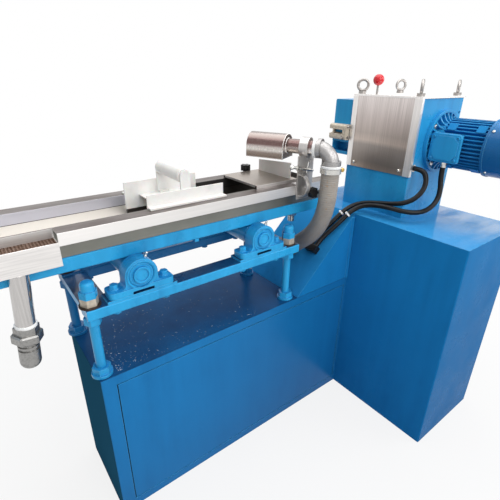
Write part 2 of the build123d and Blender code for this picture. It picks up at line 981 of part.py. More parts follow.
splash_x = tray_right - splash_from_tray_end
with BuildPart() as splash_plate:
    with BuildSketch(Plane.YZ.offset(splash_x)) as splash_face:
        with BuildLine():
            Polyline(
                (-splash_width / 2, tray_top),
                (splash_width / 2, tray_top),
                (splash_width / 2, tray_top + splash_far_height),
                (-splash_width / 2, tray_top + splash_near_height),
                close=True,
            )
        make_face()
    extrude(amount=splash_thickness)
save(splash_plate, "splash_plate")


def scalloped_knob(start, direction):
    """A hand knob with hollows around its rim, on a boss."""
    way = Vector(*direction)
    foot = Vector(*start)
    rod(foot, foot + way * knob_boss_height, knob_boss_diameter / 2)
    with BuildSketch(Plane(origin=foot + way * knob_boss_height, z_dir=way)) as knob_face:
        Circle(knob_diameter / 2)
        with PolarLocations(knob_diameter / 2, knob_lobes):
            Circle(knob_scallop_radius, mode=Mode.SUBTRACT)
    extrude(knob_face.sketch, amount=knob_height)


# Air hood: an upturned U across the trough, closed at both ends, with a pipe out of its near end
turn = radians(hood_turn)
hood_way = Vector(sin(turn), -cos(turn), 0)
hood_cross = Vector(cos(turn), sin(turn), 0)
hood_edge = flange_top + hood_clear_height
hood_near = Vector(trough_right - hood_from_right, -hood_near_end_side, hood_edge)
hood_far = hood_near - hood_way * hood_length


def hood_section(half_width, start, drop):
    """Outline of the hood's upturned U, at a place along its length."""
    with BuildSketch(Plane(origin=start, x_dir=hood_cross, z_dir=hood_way)) as section:
        with Locations((0, hood_side_height)):
            Circle(half_width)
        with Locations((0, (hood_side_height - drop) / 2)):
            Rectangle(2 * half_width, hood_side_height + drop)
        with Locations((0, -hood_width / 2 - drop)):
            Rectangle(2 * hood_width, hood_width, mode=Mode.SUBTRACT)
    return section.sketch


pipe_height = Vector(0, 0, pipe_above_hood_edge)
with BuildPart() as air_hood:
    extrude(hood_section(hood_width / 2, hood_far, 0), amount=hood_length)
    hollow = hood_section(hood_width / 2 - hood_sheet, hood_far + hood_way * hood_sheet, cut_overrun)
    extrude(hollow, amount=hood_length - 2 * hood_sheet, mode=Mode.SUBTRACT)
    rod(
        hood_near + pipe_height,
        hood_near + pipe_height + hood_way * pipe_length,
        pipe_diameter / 2,
    )
save(air_hood, "air_hood")

# Cast elbow that turns the pipe downwards, with a bead at each end
elbow_inlet = hood_near + pipe_height + hood_way * pipe_length
elbow_centre = elbow_inlet - Vector(0, 0, elbow_radius)
elbow_outlet = elbow_centre + hood_way * elbow_radius
with BuildPart() as suction_elbow:
    with BuildSketch(Plane(origin=elbow_inlet, x_dir=hood_cross, z_dir=hood_way)) as elbow_section:
        Circle(elbow_diameter / 2)
    revolve(
        elbow_section.sketch,
        axis=Axis(elbow_centre, hood_cross),
        revolution_arc=90,
    )
    rod(elbow_inlet, elbow_inlet + hood_way * elbow_bead_length, elbow_bead_diameter / 2)
    rod(elbow_outlet, elbow_outlet + Vector(0, 0, elbow_bead_length), elbow_bead_diameter / 2)
save(suction_elbow, "suction_elbow")

# Bracket: a plate hooked over the near lip, a clamp block for the knob's screw and the pipe's collar
bracket_near = -flange_outer - bracket_lip_gap - bracket_sheet
bracket_left = hood_near.X - bracket_before_hood
bracket_right = bracket_left + bracket_width
collar_start = hood_near + pipe_height + hood_way * (collar_offset - collar_length / 2)
collar_end = collar_start + hood_way * collar_length
clamp_x = bracket_right - clamp_from_bracket_end
clamp_height = flange_top - clamp_below_flange
bracket_top = hood_edge + pipe_above_hood_edge - pipe_diameter / 2 - collar_clearance
with BuildPart() as hood_bracket:
    block(
        (bracket_left, bracket_near, flange_top - bracket_overlap),
        (bracket_right, bracket_near + bracket_sheet, bracket_top),
    )
    block(
        (bracket_left, bracket_near, flange_top),
        (bracket_right, bracket_near + bracket_hook, flange_top + bracket_sheet),
    )
    rod(collar_start, collar_end, collar_diameter / 2)
    rod(
        collar_start - hood_way * cut_overrun,
        collar_end + hood_way * cut_overrun,
        pipe_diameter / 2 + collar_clearance,
        Mode.SUBTRACT,
    )
    with BuildSketch(Plane.YZ.offset(bracket_left + strap_inset)) as strap_bend:
        with Locations((bracket_near, flange_top)):
            Circle(strap_radius)
            Circle(strap_radius - strap_thickness, mode=Mode.SUBTRACT)
        with Locations((bracket_near + strap_radius, flange_top)):
            Rectangle(2 * strap_radius, 2 * strap_radius, mode=Mode.SUBTRACT)
    extrude(amount=strap_width)
    block(
        (
            clamp_x - clamp_block_size / 2,
            bracket_near - clamp_block_depth,
            clamp_height - clamp_block_size / 2,
        ),
        (
            clamp_x + clamp_block_size / 2,
            bracket_near,
            clamp_height + clamp_block_size / 2,
        ),
    )
save(hood_bracket, "hood_bracket")

with BuildPart() as clamp_knobs:
    scalloped_knob((clamp_x, bracket_near - clamp_block_depth, clamp_height), (0, -1, 0))
    scalloped_knob((tray_left + tray_knob_inset, tray_knob_side, flange_top), (0, 0, 1))
save(clamp_knobs, "clamp_knobs")

# Suction hose from the elbow to the spigot, sagging past the rails
hose_span = spigot_mouth - elbow_outlet
hose_top = elbow_outlet - Vector(0, 0, hose_lead)
hose_high = hose_top.Z - rail_underside
hose_shares = ((0.05, 0.041), (0.078, 0.145), (0.136, 0.323), (0.31, 0.56))
hose_drop_shares = (0.883, 0.603, 0.38)
hose_first_share = 0.358
hose_heights = [rail_underside + hose_first_share * hose_high]
hose_heights += [spigot_mouth.Z + share * hose_room for share in hose_drop_shares]
hose_route = [elbow_outlet, hose_top]
for (along_share, across_share), height in zip(hose_shares, hose_heights):
    along = elbow_outlet.X + along_share * hose_span.X
    across = elbow_outlet.Y + across_share * hose_span.Y
    hose_route.append(Vector(along, across, height))
hose_route += [spigot_mouth + spigot_way * spigot_lead_share * hose_room, spigot_mouth]
print("hose points", [tuple(round(value, 1) for value in point) for point in hose_route])
cord_tube(hose_route, hose_diameter, "suction_hose")

clip_top = elbow_outlet - Vector(0, 0, hose_clip_drop)
clip_foot = clip_top - Vector(0, 0, hose_clip_width)
clip_inner = hose_diameter / 2 + hose_clip_clearance
with BuildPart() as hose_clip:
    rod(clip_foot, clip_top, clip_inner + hose_clip_thickness)
    block(
        (clip_top.X + clip_inner, clip_top.Y - hose_clip_ear_width / 2, clip_foot.Z),
        (
            clip_top.X + clip_inner + hose_clip_ear,
            clip_top.Y + hose_clip_ear_width / 2,
            clip_top.Z,
        ),
    )
    rod(
        clip_foot - Vector(0, 0, cut_overrun),
        clip_top + Vector(0, 0, cut_overrun),
        clip_inner,
        Mode.SUBTRACT,
    )
save(hose_clip, "hose_clip")

# Cutter housing with a stainless cover, its edge trims and a top plate
with BuildPart() as cutter_housing:
    block(
        (housing_left, housing_near, cabinet_height),
        (housing_right, housing_far, housing_top),
    )
    fillet(edges().filter_by(Axis.Z).group_by(Axis.Y)[0], housing_edge)
    for hole_x in (housing_left + fixing_hole_inset, housing_right - fixing_hole_inset):
        hole_height = housing_top - fixing_hole_drop
        rod(
            (hole_x, housing_near - cut_overrun, hole_height),
            (hole_x, housing_near + fixing_hole_depth, hole_height),
            fixing_hole_diameter / 2,
            Mode.SUBTRACT,
        )
save(cutter_housing, "cutter_housing")

cover_bottom = cabinet_height + cover_foot
with BuildPart() as cutter_cover:
    block(
        (housing_left - cover_thickness, housing_near + cover_trim_width, cover_bottom),
        (housing_left, housing_far - cover_trim_width, housing_top),
    )
save(cutter_cover, "cutter_cover")

trim_front = housing_left - cover_trim_thickness
with BuildPart() as cover_trims:
    block(
        (trim_front, housing_near - cover_trim_thickness, cover_bottom),
        (housing_left, housing_near + cover_trim_width, housing_top),
    )
    block(
        (housing_left, housing_near - cover_trim_thickness, cover_bottom),
        (housing_left + cover_trim_return, housing_near, housing_top),
    )
    block(
        (trim_front, housing_far - cover_trim_width, cover_bottom),
        (housing_left, housing_far, housing_top),
    )
save(cover_trims, "cover_trims")

top_plate_top = housing_top + top_plate_thickness
with BuildPart() as cutter_top_plate:
    block(
        (housing_left - top_plate_overhang, housing_near - top_plate_overhang, housing_top),
        (housing_right + top_plate_overhang, housing_far, top_plate_top),
    )
save(cutter_top_plate, "cutter_top_plate")

# Infeed head beside the housing, with the guide block that the strands run through
head_far = housing_far + head_width
head_bottom = cabinet_height + head_foot
head_top = head_bottom + head_height
with BuildPart() as infeed_head:
    block(
        (housing_left, housing_far, head_bottom),
        (housing_left + head_length, head_far, head_top),
    )
    fillet(edges().filter_by(Axis.X).group_by(Axis.Y)[-1], head_edge)
    block(
        (
            housing_left - cut_overrun,
            housing_far + head_pocket_wall,
            head_bottom + head_pocket_foot,
        ),
        (
            housing_left + head_pocket_depth,
            head_far - head_pocket_wall,
            head_bottom + head_pocket_foot + head_pocket_height,
        ),
        Mode.SUBTRACT,
    )
    block(
        (
            housing_left - head_ledge_reach,
            housing_far + guide_block_margin,
            head_bottom + guide_block_foot - head_ledge_height,
        ),
        (housing_left, head_far - guide_block_margin, head_bottom + guide_block_foot),
    )
save(infeed_head, "infeed_head")

guide_low = head_bottom + guide_block_foot
guide_high = guide_low + guide_block_height
guide_front = housing_left - guide_block_depth
guide_back = housing_left - guide_back_depth
guide_near = housing_far + guide_block_margin
guide_far = head_far - guide_block_margin
mouth_start = guide_near + mouth_from_edge
mouth_low = guide_low + mouth_foot
with BuildPart() as infeed_guide:
    block((guide_back, guide_near, guide_low), (housing_left, guide_far, guide_high))
    block((guide_front, guide_near, guide_high - guide_top_height), (guide_back, guide_far, guide_high))
    block((guide_front, guide_near, guide_low), (guide_back, guide_near + guide_cheek_width, guide_high))
    with BuildSketch(Plane.XZ.offset(-guide_far)) as chute_side:
        with BuildLine():
            Polyline(
                (guide_back, guide_low),
                (guide_front, guide_low),
                (guide_front, guide_low + guide_lip_height),
                (guide_back, guide_low + guide_lip_height + chute_rise),
                close=True,
            )
        make_face()
    extrude(amount=guide_far - guide_near)
    front_edges = edges().filter_by(Axis.Y).group_by(Axis.X)[0].sort_by(Axis.Z)
    fillet([front_edges[0], front_edges[-1]], guide_nose)
    block(
        (guide_back - cut_overrun, mouth_start, mouth_low),
        (housing_left + cut_overrun, mouth_start + mouth_width, mouth_low + mouth_height),
        Mode.SUBTRACT,
    )
save(infeed_guide, "infeed_guide")

# Eye bolts at the top plate's corners
eye_places = [
    (housing_left + eye_inset, housing_far - eye_inset),
    (housing_right - eye_inset, housing_far - eye_inset),
    (housing_left + eye_inset, housing_near + eye_inset),
    (housing_right - eye_inset, housing_near + eye_inset),
]
eye_centre = top_plate_top + eye_collar_height + eye_ring_radius + eye_bar_radius - eye_neck_sink
with BuildPart() as eye_bolts:
    for place, eye_turn in zip(eye_places, eye_turns):
        rod(
            (*place, top_plate_top),
            (*place, top_plate_top + eye_collar_height),
            eye_collar_diameter / 2,
        )
        facing = (cos(radians(eye_turn)), sin(radians(eye_turn)), 0)
        with Locations(Plane(origin=(*place, eye_centre), z_dir=facing).location):
            Torus(eye_ring_radius, eye_bar_radius)
save(eye_bolts, "eye_bolts")

# Lift lever with its ball
lever_x = housing_left + lever_inset_x
stem_top = top_plate_top + lever_stem_length
with BuildPart() as lift_lever:
    rod(
        (lever_x, -lever_side, top_plate_top),
        (lever_x, -lever_side, stem_top),
        lever_stem_diameter / 2,
    )
    with Locations((lever_x, -lever_side, stem_top + lever_ball_diameter / 2 - lever_ball_seat)):
        Sphere(lever_ball_diameter / 2)
save(lift_lever, "lift_lever")

# Drive motor: flange with ribbed bell, finned body, cowl and terminal box
flange_end = housing_near - motor_flange_thickness
bell_end = flange_end - motor_bell_length
body_end = bell_end - motor_body_length
cowl_end = body_end - cowl_length


def motor_plane(y):
    """Plane across the motor's shaft, facing the operator."""
    return Plane(origin=(motor_x, y, motor_height), x_dir=(1, 0, 0), z_dir=(0, -1, 0))


rib_root = motor_bell_diameter / 2 - motor_rib_thickness
rib_sag = motor_rib_sag_share * motor_bell_length
rib_reach = motor_rib_diameter / 2 + motor_rib_thickness / 2
recess_floor = flange_end + motor_recess_depth
with BuildPart() as motor_flange:
    with BuildSketch(motor_plane(housing_near)) as flange_face:
        Circle(motor_flange_diameter / 2)
    extrude(amount=motor_flange_thickness)
    with BuildSketch(motor_plane(flange_end)) as flange_recess:
        Circle(motor_rib_diameter / 2)
    extrude(amount=-motor_recess_depth, mode=Mode.SUBTRACT)
    with BuildSketch(motor_plane(recess_floor)) as bell_face:
        Circle(motor_bell_diameter / 2)
    extrude(amount=motor_recess_depth + motor_bell_length)
    for rib in range(motor_bell_ribs):
        rib_turn = radians(rib * 360 / motor_bell_ribs)
        outward = Vector(cos(rib_turn), 0, sin(rib_turn))
        rib_plane = Plane(
            origin=(motor_x, flange_end, motor_height),
            x_dir=outward,
            z_dir=outward.cross(Vector(0, -1, 0)),
        )
        with BuildSketch(rib_plane) as rib_side:
            with BuildLine():
                rib_foot = Polyline(
                    (rib_root, motor_bell_length),
                    (rib_root, -motor_recess_depth),
                    (rib_reach, -motor_recess_depth),
                    (rib_reach, 0),
                )
                SagittaArc(rib_foot @ 1, rib_foot @ 0, rib_sag)
            make_face()
        extrude(amount=motor_rib_thickness / 2, both=True)
save(motor_flange, "motor_flange")

fin_middle = (motor_core_diameter + motor_fin_diameter) / 4
fin_height = (motor_fin_diameter - motor_core_diameter) / 2 + motor_fin_thickness
with BuildPart() as motor_body:
    with BuildSketch(motor_plane(bell_end)) as body_section:
        Circle(motor_core_diameter / 2)
        with PolarLocations(fin_middle - motor_fin_thickness / 2, motor_fins):
            Rectangle(fin_height, motor_fin_thickness)
    extrude(amount=motor_body_length)
    pad_reach = motor_fin_diameter / 2 + motor_pad_step
    for pad_start in (
        bell_end - motor_pad_inset,
        body_end + motor_pad_inset + motor_pad_length,
    ):
        with BuildSketch(motor_plane(pad_start)) as pad_section:
            for pad_turn in motor_pad_turns:
                with Locations(Rotation(0, 0, pad_turn)):
                    with Locations((pad_reach / 2, 0)):
                        Rectangle(pad_reach, motor_pad_width)
        extrude(amount=motor_pad_length)
save(motor_body, "motor_body")

with BuildPart() as fan_cowl:
    with BuildSketch(motor_plane(body_end)) as cowl_face:
        Circle(cowl_diameter / 2)
    extrude(amount=cowl_length)
    fillet(faces().sort_by(Axis.Y)[0].edges(), cowl_rounding)
    with BuildSketch(motor_plane(body_end)) as cowl_lip:
        Circle(cowl_lip_diameter / 2)
    extrude(amount=cowl_lip_width)
    with BuildSketch(motor_plane(cowl_end)) as grille:
        for step in range(cowl_grooves):
            groove_radius = cowl_hub_diameter / 2 + step * cowl_groove_pitch / 2
            Circle(groove_radius + cowl_groove_width / 2, mode=Mode.ADD)
            Circle(groove_radius - cowl_groove_width / 2, mode=Mode.SUBTRACT)
    extrude(amount=-cowl_groove_depth, mode=Mode.SUBTRACT)
save(fan_cowl, "fan_cowl")

terminal_right = motor_x - motor_fin_diameter / 2
terminal_left = terminal_right - terminal_reach
terminal_far = flange_end - terminal_from_flange
terminal_near = terminal_far - terminal_width
terminal_middle = motor_height - terminal_drop
terminal_low = terminal_middle - terminal_height / 2
terminal_high = terminal_middle + terminal_height / 2
lid_back = terminal_left + lid_thickness
with BuildPart() as terminal_box:
    block(
        (terminal_left, terminal_near - lid_step, terminal_low - lid_step),
        (lid_back, terminal_far + lid_step, terminal_high + lid_step),
    )
    fillet(edges().filter_by(Axis.X), terminal_corner)
    chamfer(faces().sort_by(Axis.X)[0].edges(), lid_edge)
    block(
        (lid_back - lid_step, terminal_near, terminal_low),
        (terminal_right, terminal_far, terminal_high),
    )
    lid_plane = Plane(
        origin=(terminal_left, (terminal_near + terminal_far) / 2, terminal_middle),
        x_dir=(0, 1, 0),
        z_dir=(-1, 0, 0),
    )
    with BuildSketch(lid_plane) as lid_panel:
        Rectangle(terminal_width - 2 * lid_panel_margin, terminal_height - 2 * lid_panel_margin)
        chamfer(lid_panel.vertices(), lid_panel_corner)
    extrude(amount=lid_panel_step)
save(terminal_box, "terminal_box")

# Glands and the hooded entry that the cables go into
gland_x = terminal_left + gland_from_lid
gland_y = (terminal_near + terminal_far) / 2
gland_nose = terminal_low - gland_hex_height
gland_mouth = gland_nose - gland_nose_height
grommet_face = housing_near - grommet_depth
with BuildPart() as cable_glands:
    hexagon((gland_x, gland_y, terminal_low), (0, 0, -1), gland_across, gland_hex_height)
    rod((gland_x, gland_y, gland_mouth), (gland_x, gland_y, gland_nose), gland_nose_diameter / 2)
    rod(
        (grommet_x, housing_near, grommet_height),
        (grommet_x, grommet_face, grommet_height),
        grommet_diameter / 2,
    )
save(cable_glands, "cable_glands")

entry_top = Vector(entry_x, -entry_side, slope_height(entry_x))
entry_plane = Plane(origin=entry_top, x_dir=slope_up, z_dir=slope_normal)
with BuildPart() as cable_entry:
    with BuildSketch(entry_plane) as entry_foot:
        with Locations((-entry_length / 2, 0)):
            Rectangle(entry_length, entry_width)
    extrude(amount=entry_height)
    fillet(faces().sort_by(Axis.Z)[-1].edges(), entry_edge)
save(cable_entry, "cable_entry")


def entry_mouth(side):
    """Where a cable meets the entry's upper face."""
    mouth = entry_plane * Location((0, side * entry_cable_spacing / 2, entry_cable_rise))
    return mouth.position


grommet_mouth = Vector(grommet_x, grommet_face, grommet_height)
drive_cable_route = [
    grommet_mouth,
    grommet_mouth - Vector(0, cable_lead, 0),
    (566, -310, 902),
    (562, -316, 874),
    (549, -313, 849),
    (531, -300, 827),
    (518, -276, 812),
    (512, -242, 803),
    (510, -199, 795),
    (506, -155, 787),
    (494, -121, 777),
    (471, -105, 766),
    (445, -98, 752),
    (418, -89, 727),
    (392, -80, 702),
    entry_mouth(1) + slope_up * cable_lead,
    entry_mouth(1),
]
cord_tube(drive_cable_route, cable_diameter, "drive_cable")

gland_exit = Vector(gland_x, gland_y, gland_mouth)
motor_cable_route = [
    gland_exit,
    gland_exit - Vector(0, 0, cable_lead),
    (620, -339, 851),
    (606, -340, 817),
    (576, -334, 795),
    (537, -321, 788),
    (506, -291, 790),
    (491, -250, 795),
    (487, -206, 792),
    (481, -166, 785),
    (467, -140, 773),
    (443, -126, 754),
    (416, -115, 726),
    (391, -105, 702),
    entry_mouth(-1) + slope_up * cable_lead,
    entry_mouth(-1),
]
cord_tube(motor_cable_route, cable_diameter, "motor_cable")
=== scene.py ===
import math
import random

import bmesh
import bpy
from bpy.props import FloatProperty, FloatVectorProperty, IntProperty, PointerProperty
from mathutils import Matrix, Vector


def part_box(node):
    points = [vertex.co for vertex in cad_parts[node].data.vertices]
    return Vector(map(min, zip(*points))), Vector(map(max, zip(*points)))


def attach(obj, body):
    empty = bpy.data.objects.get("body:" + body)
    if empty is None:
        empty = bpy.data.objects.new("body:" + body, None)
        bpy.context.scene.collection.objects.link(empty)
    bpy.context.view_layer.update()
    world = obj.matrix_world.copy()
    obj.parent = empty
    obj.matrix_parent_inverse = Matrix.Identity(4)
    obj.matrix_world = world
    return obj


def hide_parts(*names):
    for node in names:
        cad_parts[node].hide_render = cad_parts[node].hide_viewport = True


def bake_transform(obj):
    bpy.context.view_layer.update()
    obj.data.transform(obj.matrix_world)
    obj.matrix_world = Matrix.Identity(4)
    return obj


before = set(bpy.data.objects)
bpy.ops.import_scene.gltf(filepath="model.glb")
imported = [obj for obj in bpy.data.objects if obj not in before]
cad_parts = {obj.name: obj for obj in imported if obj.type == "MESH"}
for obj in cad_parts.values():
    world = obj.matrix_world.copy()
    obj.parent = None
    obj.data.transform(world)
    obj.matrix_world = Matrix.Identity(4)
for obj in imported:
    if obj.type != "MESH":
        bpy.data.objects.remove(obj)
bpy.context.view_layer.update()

bl_info = {
    "name": "Strand pelletizing line",
    "version": (1, 0, 0),
    "blender": (4, 5, 0),
    "location": "3D View > Sidebar > Pelletizer",
    "description": "Dresses the strand pelletizing line with finishes, fasteners, hose and cables",
    "category": "Object",
}

STAND, TROUGH = "stand", "trough"
UP, DOWN = Vector((0, 0, 1)), Vector((0, 0, -1))
NEAR, LEFT = Vector((0, -1, 0)), Vector((-1, 0, 0))
PILLOWS = ("front_near", "front_far", "rear_near", "rear_far")

# Measures of the solids that their boxes don't give, in metres
HEM_HEIGHT = 0.0280
TROUGH_HALF_WIDTH, TROUGH_HALF_HOLLOW = 0.0810, 0.0795
HOOD_END = (0.194, -0.060)
HOOD_TURN = math.radians(25.0)
HOOD_WAY = Vector((math.sin(HOOD_TURN), -math.cos(HOOD_TURN), 0))
HOOD_CROSS = Vector((math.cos(HOOD_TURN), math.sin(HOOD_TURN), 0))
HOOD_RADIUS, HOOD_SIDE = 0.0395, 0.0300
PIPE_RADIUS, PIPE_RISE, PIPE_REACH = 0.0215, 0.0360, 0.0930
DRAIN_END, DRAIN_WAY = Vector((-0.5751, -0.103, 0.70174)), Vector((-0.08716, 0, -0.99619))
PILLOW_FOOT, PILLOW_BOLT_REACH, PILLOW_AXIS_DROP = 0.016, 0.064, 0.041
FLANGE_BOLT_CIRCLE, COWL_RADIUS = 0.083, 0.084
BALL_HEIGHT, WASHER_HEIGHT = 0.0350, 0.0030
TIE_PLACE = 0.438

# Profiles of small turned pieces, as radius and height in metres
GREASE_NIPPLE = (
    (0, -0.002), (0.0046, -0.002), (0.0046, 0.004), (0.003, 0.0055), (0.003, 0.009),
    (0.0038, 0.0105), (0.0026, 0.013), (0, 0.0135),
)
BEARING_SEAL = (
    (0.0212, 0.0), (0.0305, 0.0), (0.0305, 0.0050), (0.0296, 0.0062), (0.0268, 0.0062),
    (0.0258, 0.0048), (0.0212, 0.0048), (0.0212, 0.0),
)
BEARING_COLLAR = (
    (0.0160, 0.0), (0.0210, 0.0), (0.0210, 0.0026), (0.0202, 0.0034), (0.0172, 0.0034),
    (0.0160, 0.0024), (0.0160, 0.0),
)
CLIP_SCREW = (
    (0, -0.017), (0.0042, -0.017), (0.0042, 0.010), (0.0062, 0.010), (0.0062, 0.0165),
    (0.005, 0.018), (0, 0.018),
)
CROSS_PIN = ((0, -0.010), (0.0021, -0.010), (0.0021, 0.022), (0.0014, 0.023), (0, 0.023))

# Radii of the painted edge highlights and of softened edges, and the depth of the walls' painted shade and
# glare, in metres
EDGE_HIGHLIGHT, SOFT_EDGE, WALL_SKIN = 0.0024, 0.0022, 0.0012
# Scales of the brushed lines and of a moulded skin
LINE_SCALE, FINE_SKIN = 260.0, 320.0

# The camera's place and axes, and its lens and sensor in millimetres
CAMERA_PLACE = (-0.614, -0.923, 1.1805)
CAMERA_RIGHT = (0.79335, -0.60863, 0.01286)
CAMERA_UP = (0.2406, 0.3329, 0.9117)
CAMERA_BACK = (-0.55920, -0.72024, 0.41056)
CAMERA_LENS, CAMERA_SENSOR = 27.56, 36.0
# Each lamp's place, target and width in metres, and its power in watts
LAMPS = {
    "key_lamp": ((-0.3, -3.2, 2.6), (0.2, -0.1, 0.85), 2.4, 68.0),
    "fill_lamp": ((2.7, -2.3, 2.3), (0.45, -0.2, 0.95), 1.8, 40.0),
    "top_lamp": ((0.3, 0.3, 3.8), (0.2, 0.0, 0.8), 4.5, 142.0),
}
WORLD_TINT, WORLD_STRENGTH = (0.94, 0.97, 1.0), 0.24
FLOOR_SIZE = 14.0

# Routes of the free cords, in metres, as the solids have them
HOSE_ROUTE = (
    (0.25232, -0.18507, 0.9513), (0.25232, -0.18507, 0.8753), (0.2541, -0.1780, 0.8150),
    (0.2550, -0.1599, 0.7629), (0.2570, -0.1290, 0.7190), (0.2630, -0.0879, 0.6839),
    (0.2746, -0.0458, 0.6524), (0.28691, -0.01153, 0.62428),
)
DRIVE_CABLE_ROUTE = (
    (0.566, -0.264, 0.919), (0.566, -0.294, 0.919), (0.566, -0.310, 0.902),
    (0.562, -0.316, 0.874), (0.549, -0.313, 0.849), (0.531, -0.300, 0.827),
    (0.518, -0.276, 0.812), (0.512, -0.242, 0.803), (0.510, -0.199, 0.795),
    (0.506, -0.155, 0.787), (0.494, -0.121, 0.777), (0.471, -0.105, 0.766),
    (0.445, -0.098, 0.752), (0.418, -0.089, 0.727), (0.392, -0.080, 0.702),
    (0.35314, -0.062, 0.66278), (0.33163, -0.062, 0.64187),
)
MOTOR_CABLE_ROUTE = (
    (0.6255, -0.3275, 0.927), (0.6255, -0.3275, 0.897), (0.620, -0.339, 0.851),
    (0.606, -0.340, 0.817), (0.576, -0.334, 0.795), (0.537, -0.321, 0.788),
    (0.506, -0.291, 0.790), (0.491, -0.250, 0.795), (0.487, -0.206, 0.792),
    (0.481, -0.166, 0.785), (0.467, -0.140, 0.773), (0.443, -0.126, 0.754),
    (0.416, -0.115, 0.726), (0.391, -0.105, 0.702), (0.35314, -0.086, 0.66278),
    (0.33163, -0.086, 0.64187),
)


def length(name, description, default):
    """A length that a user may change, in metres."""
    return FloatProperty(name=name, description=description, default=default, min=0.0, unit="LENGTH")


def colour(name, description, default):
    """A colour that a user may change."""
    return FloatVectorProperty(
        name=name, description=description, default=default, subtype="COLOR", min=0.0, max=1.0
    )


class LineSizes(bpy.types.PropertyGroup):
    """Sizes of the fasteners and other small pieces."""

    hose: length("Hose", "Outside diameter of the suction hose", 0.054)
    cable: length("Cable", "Outside diameter of each cable", 0.016)
    pillow_bolt: length("Pillow bolt", "Width of a pillow block bolt across its flats", 0.018)
    screw_head: length("Screw head", "Diameter of a cover screw's head", 0.011)
    flange_bolt: length("Flange bolt", "Width of a motor flange bolt across its flats", 0.013)
    lid_screw: length("Lid screw", "Diameter of a terminal lid or cowl screw", 0.009)
    screen_pitch: length("Screen pitch", "Distance between the holes of the overflow screen", 0.0062)
    screen_hole: length("Screen hole", "Diameter of a hole in the overflow screen", 0.0042)
    tie_width: length("Tie width", "Width of a cable tie", 0.006)
    weld: length("Weld", "Width of a weld bead", 0.005)
    drop: length("Drop", "Diameter of the largest water drop on the deck", 0.0040)
    drops: IntProperty(name="Drops", description="Number of water drops on the deck", default=420)


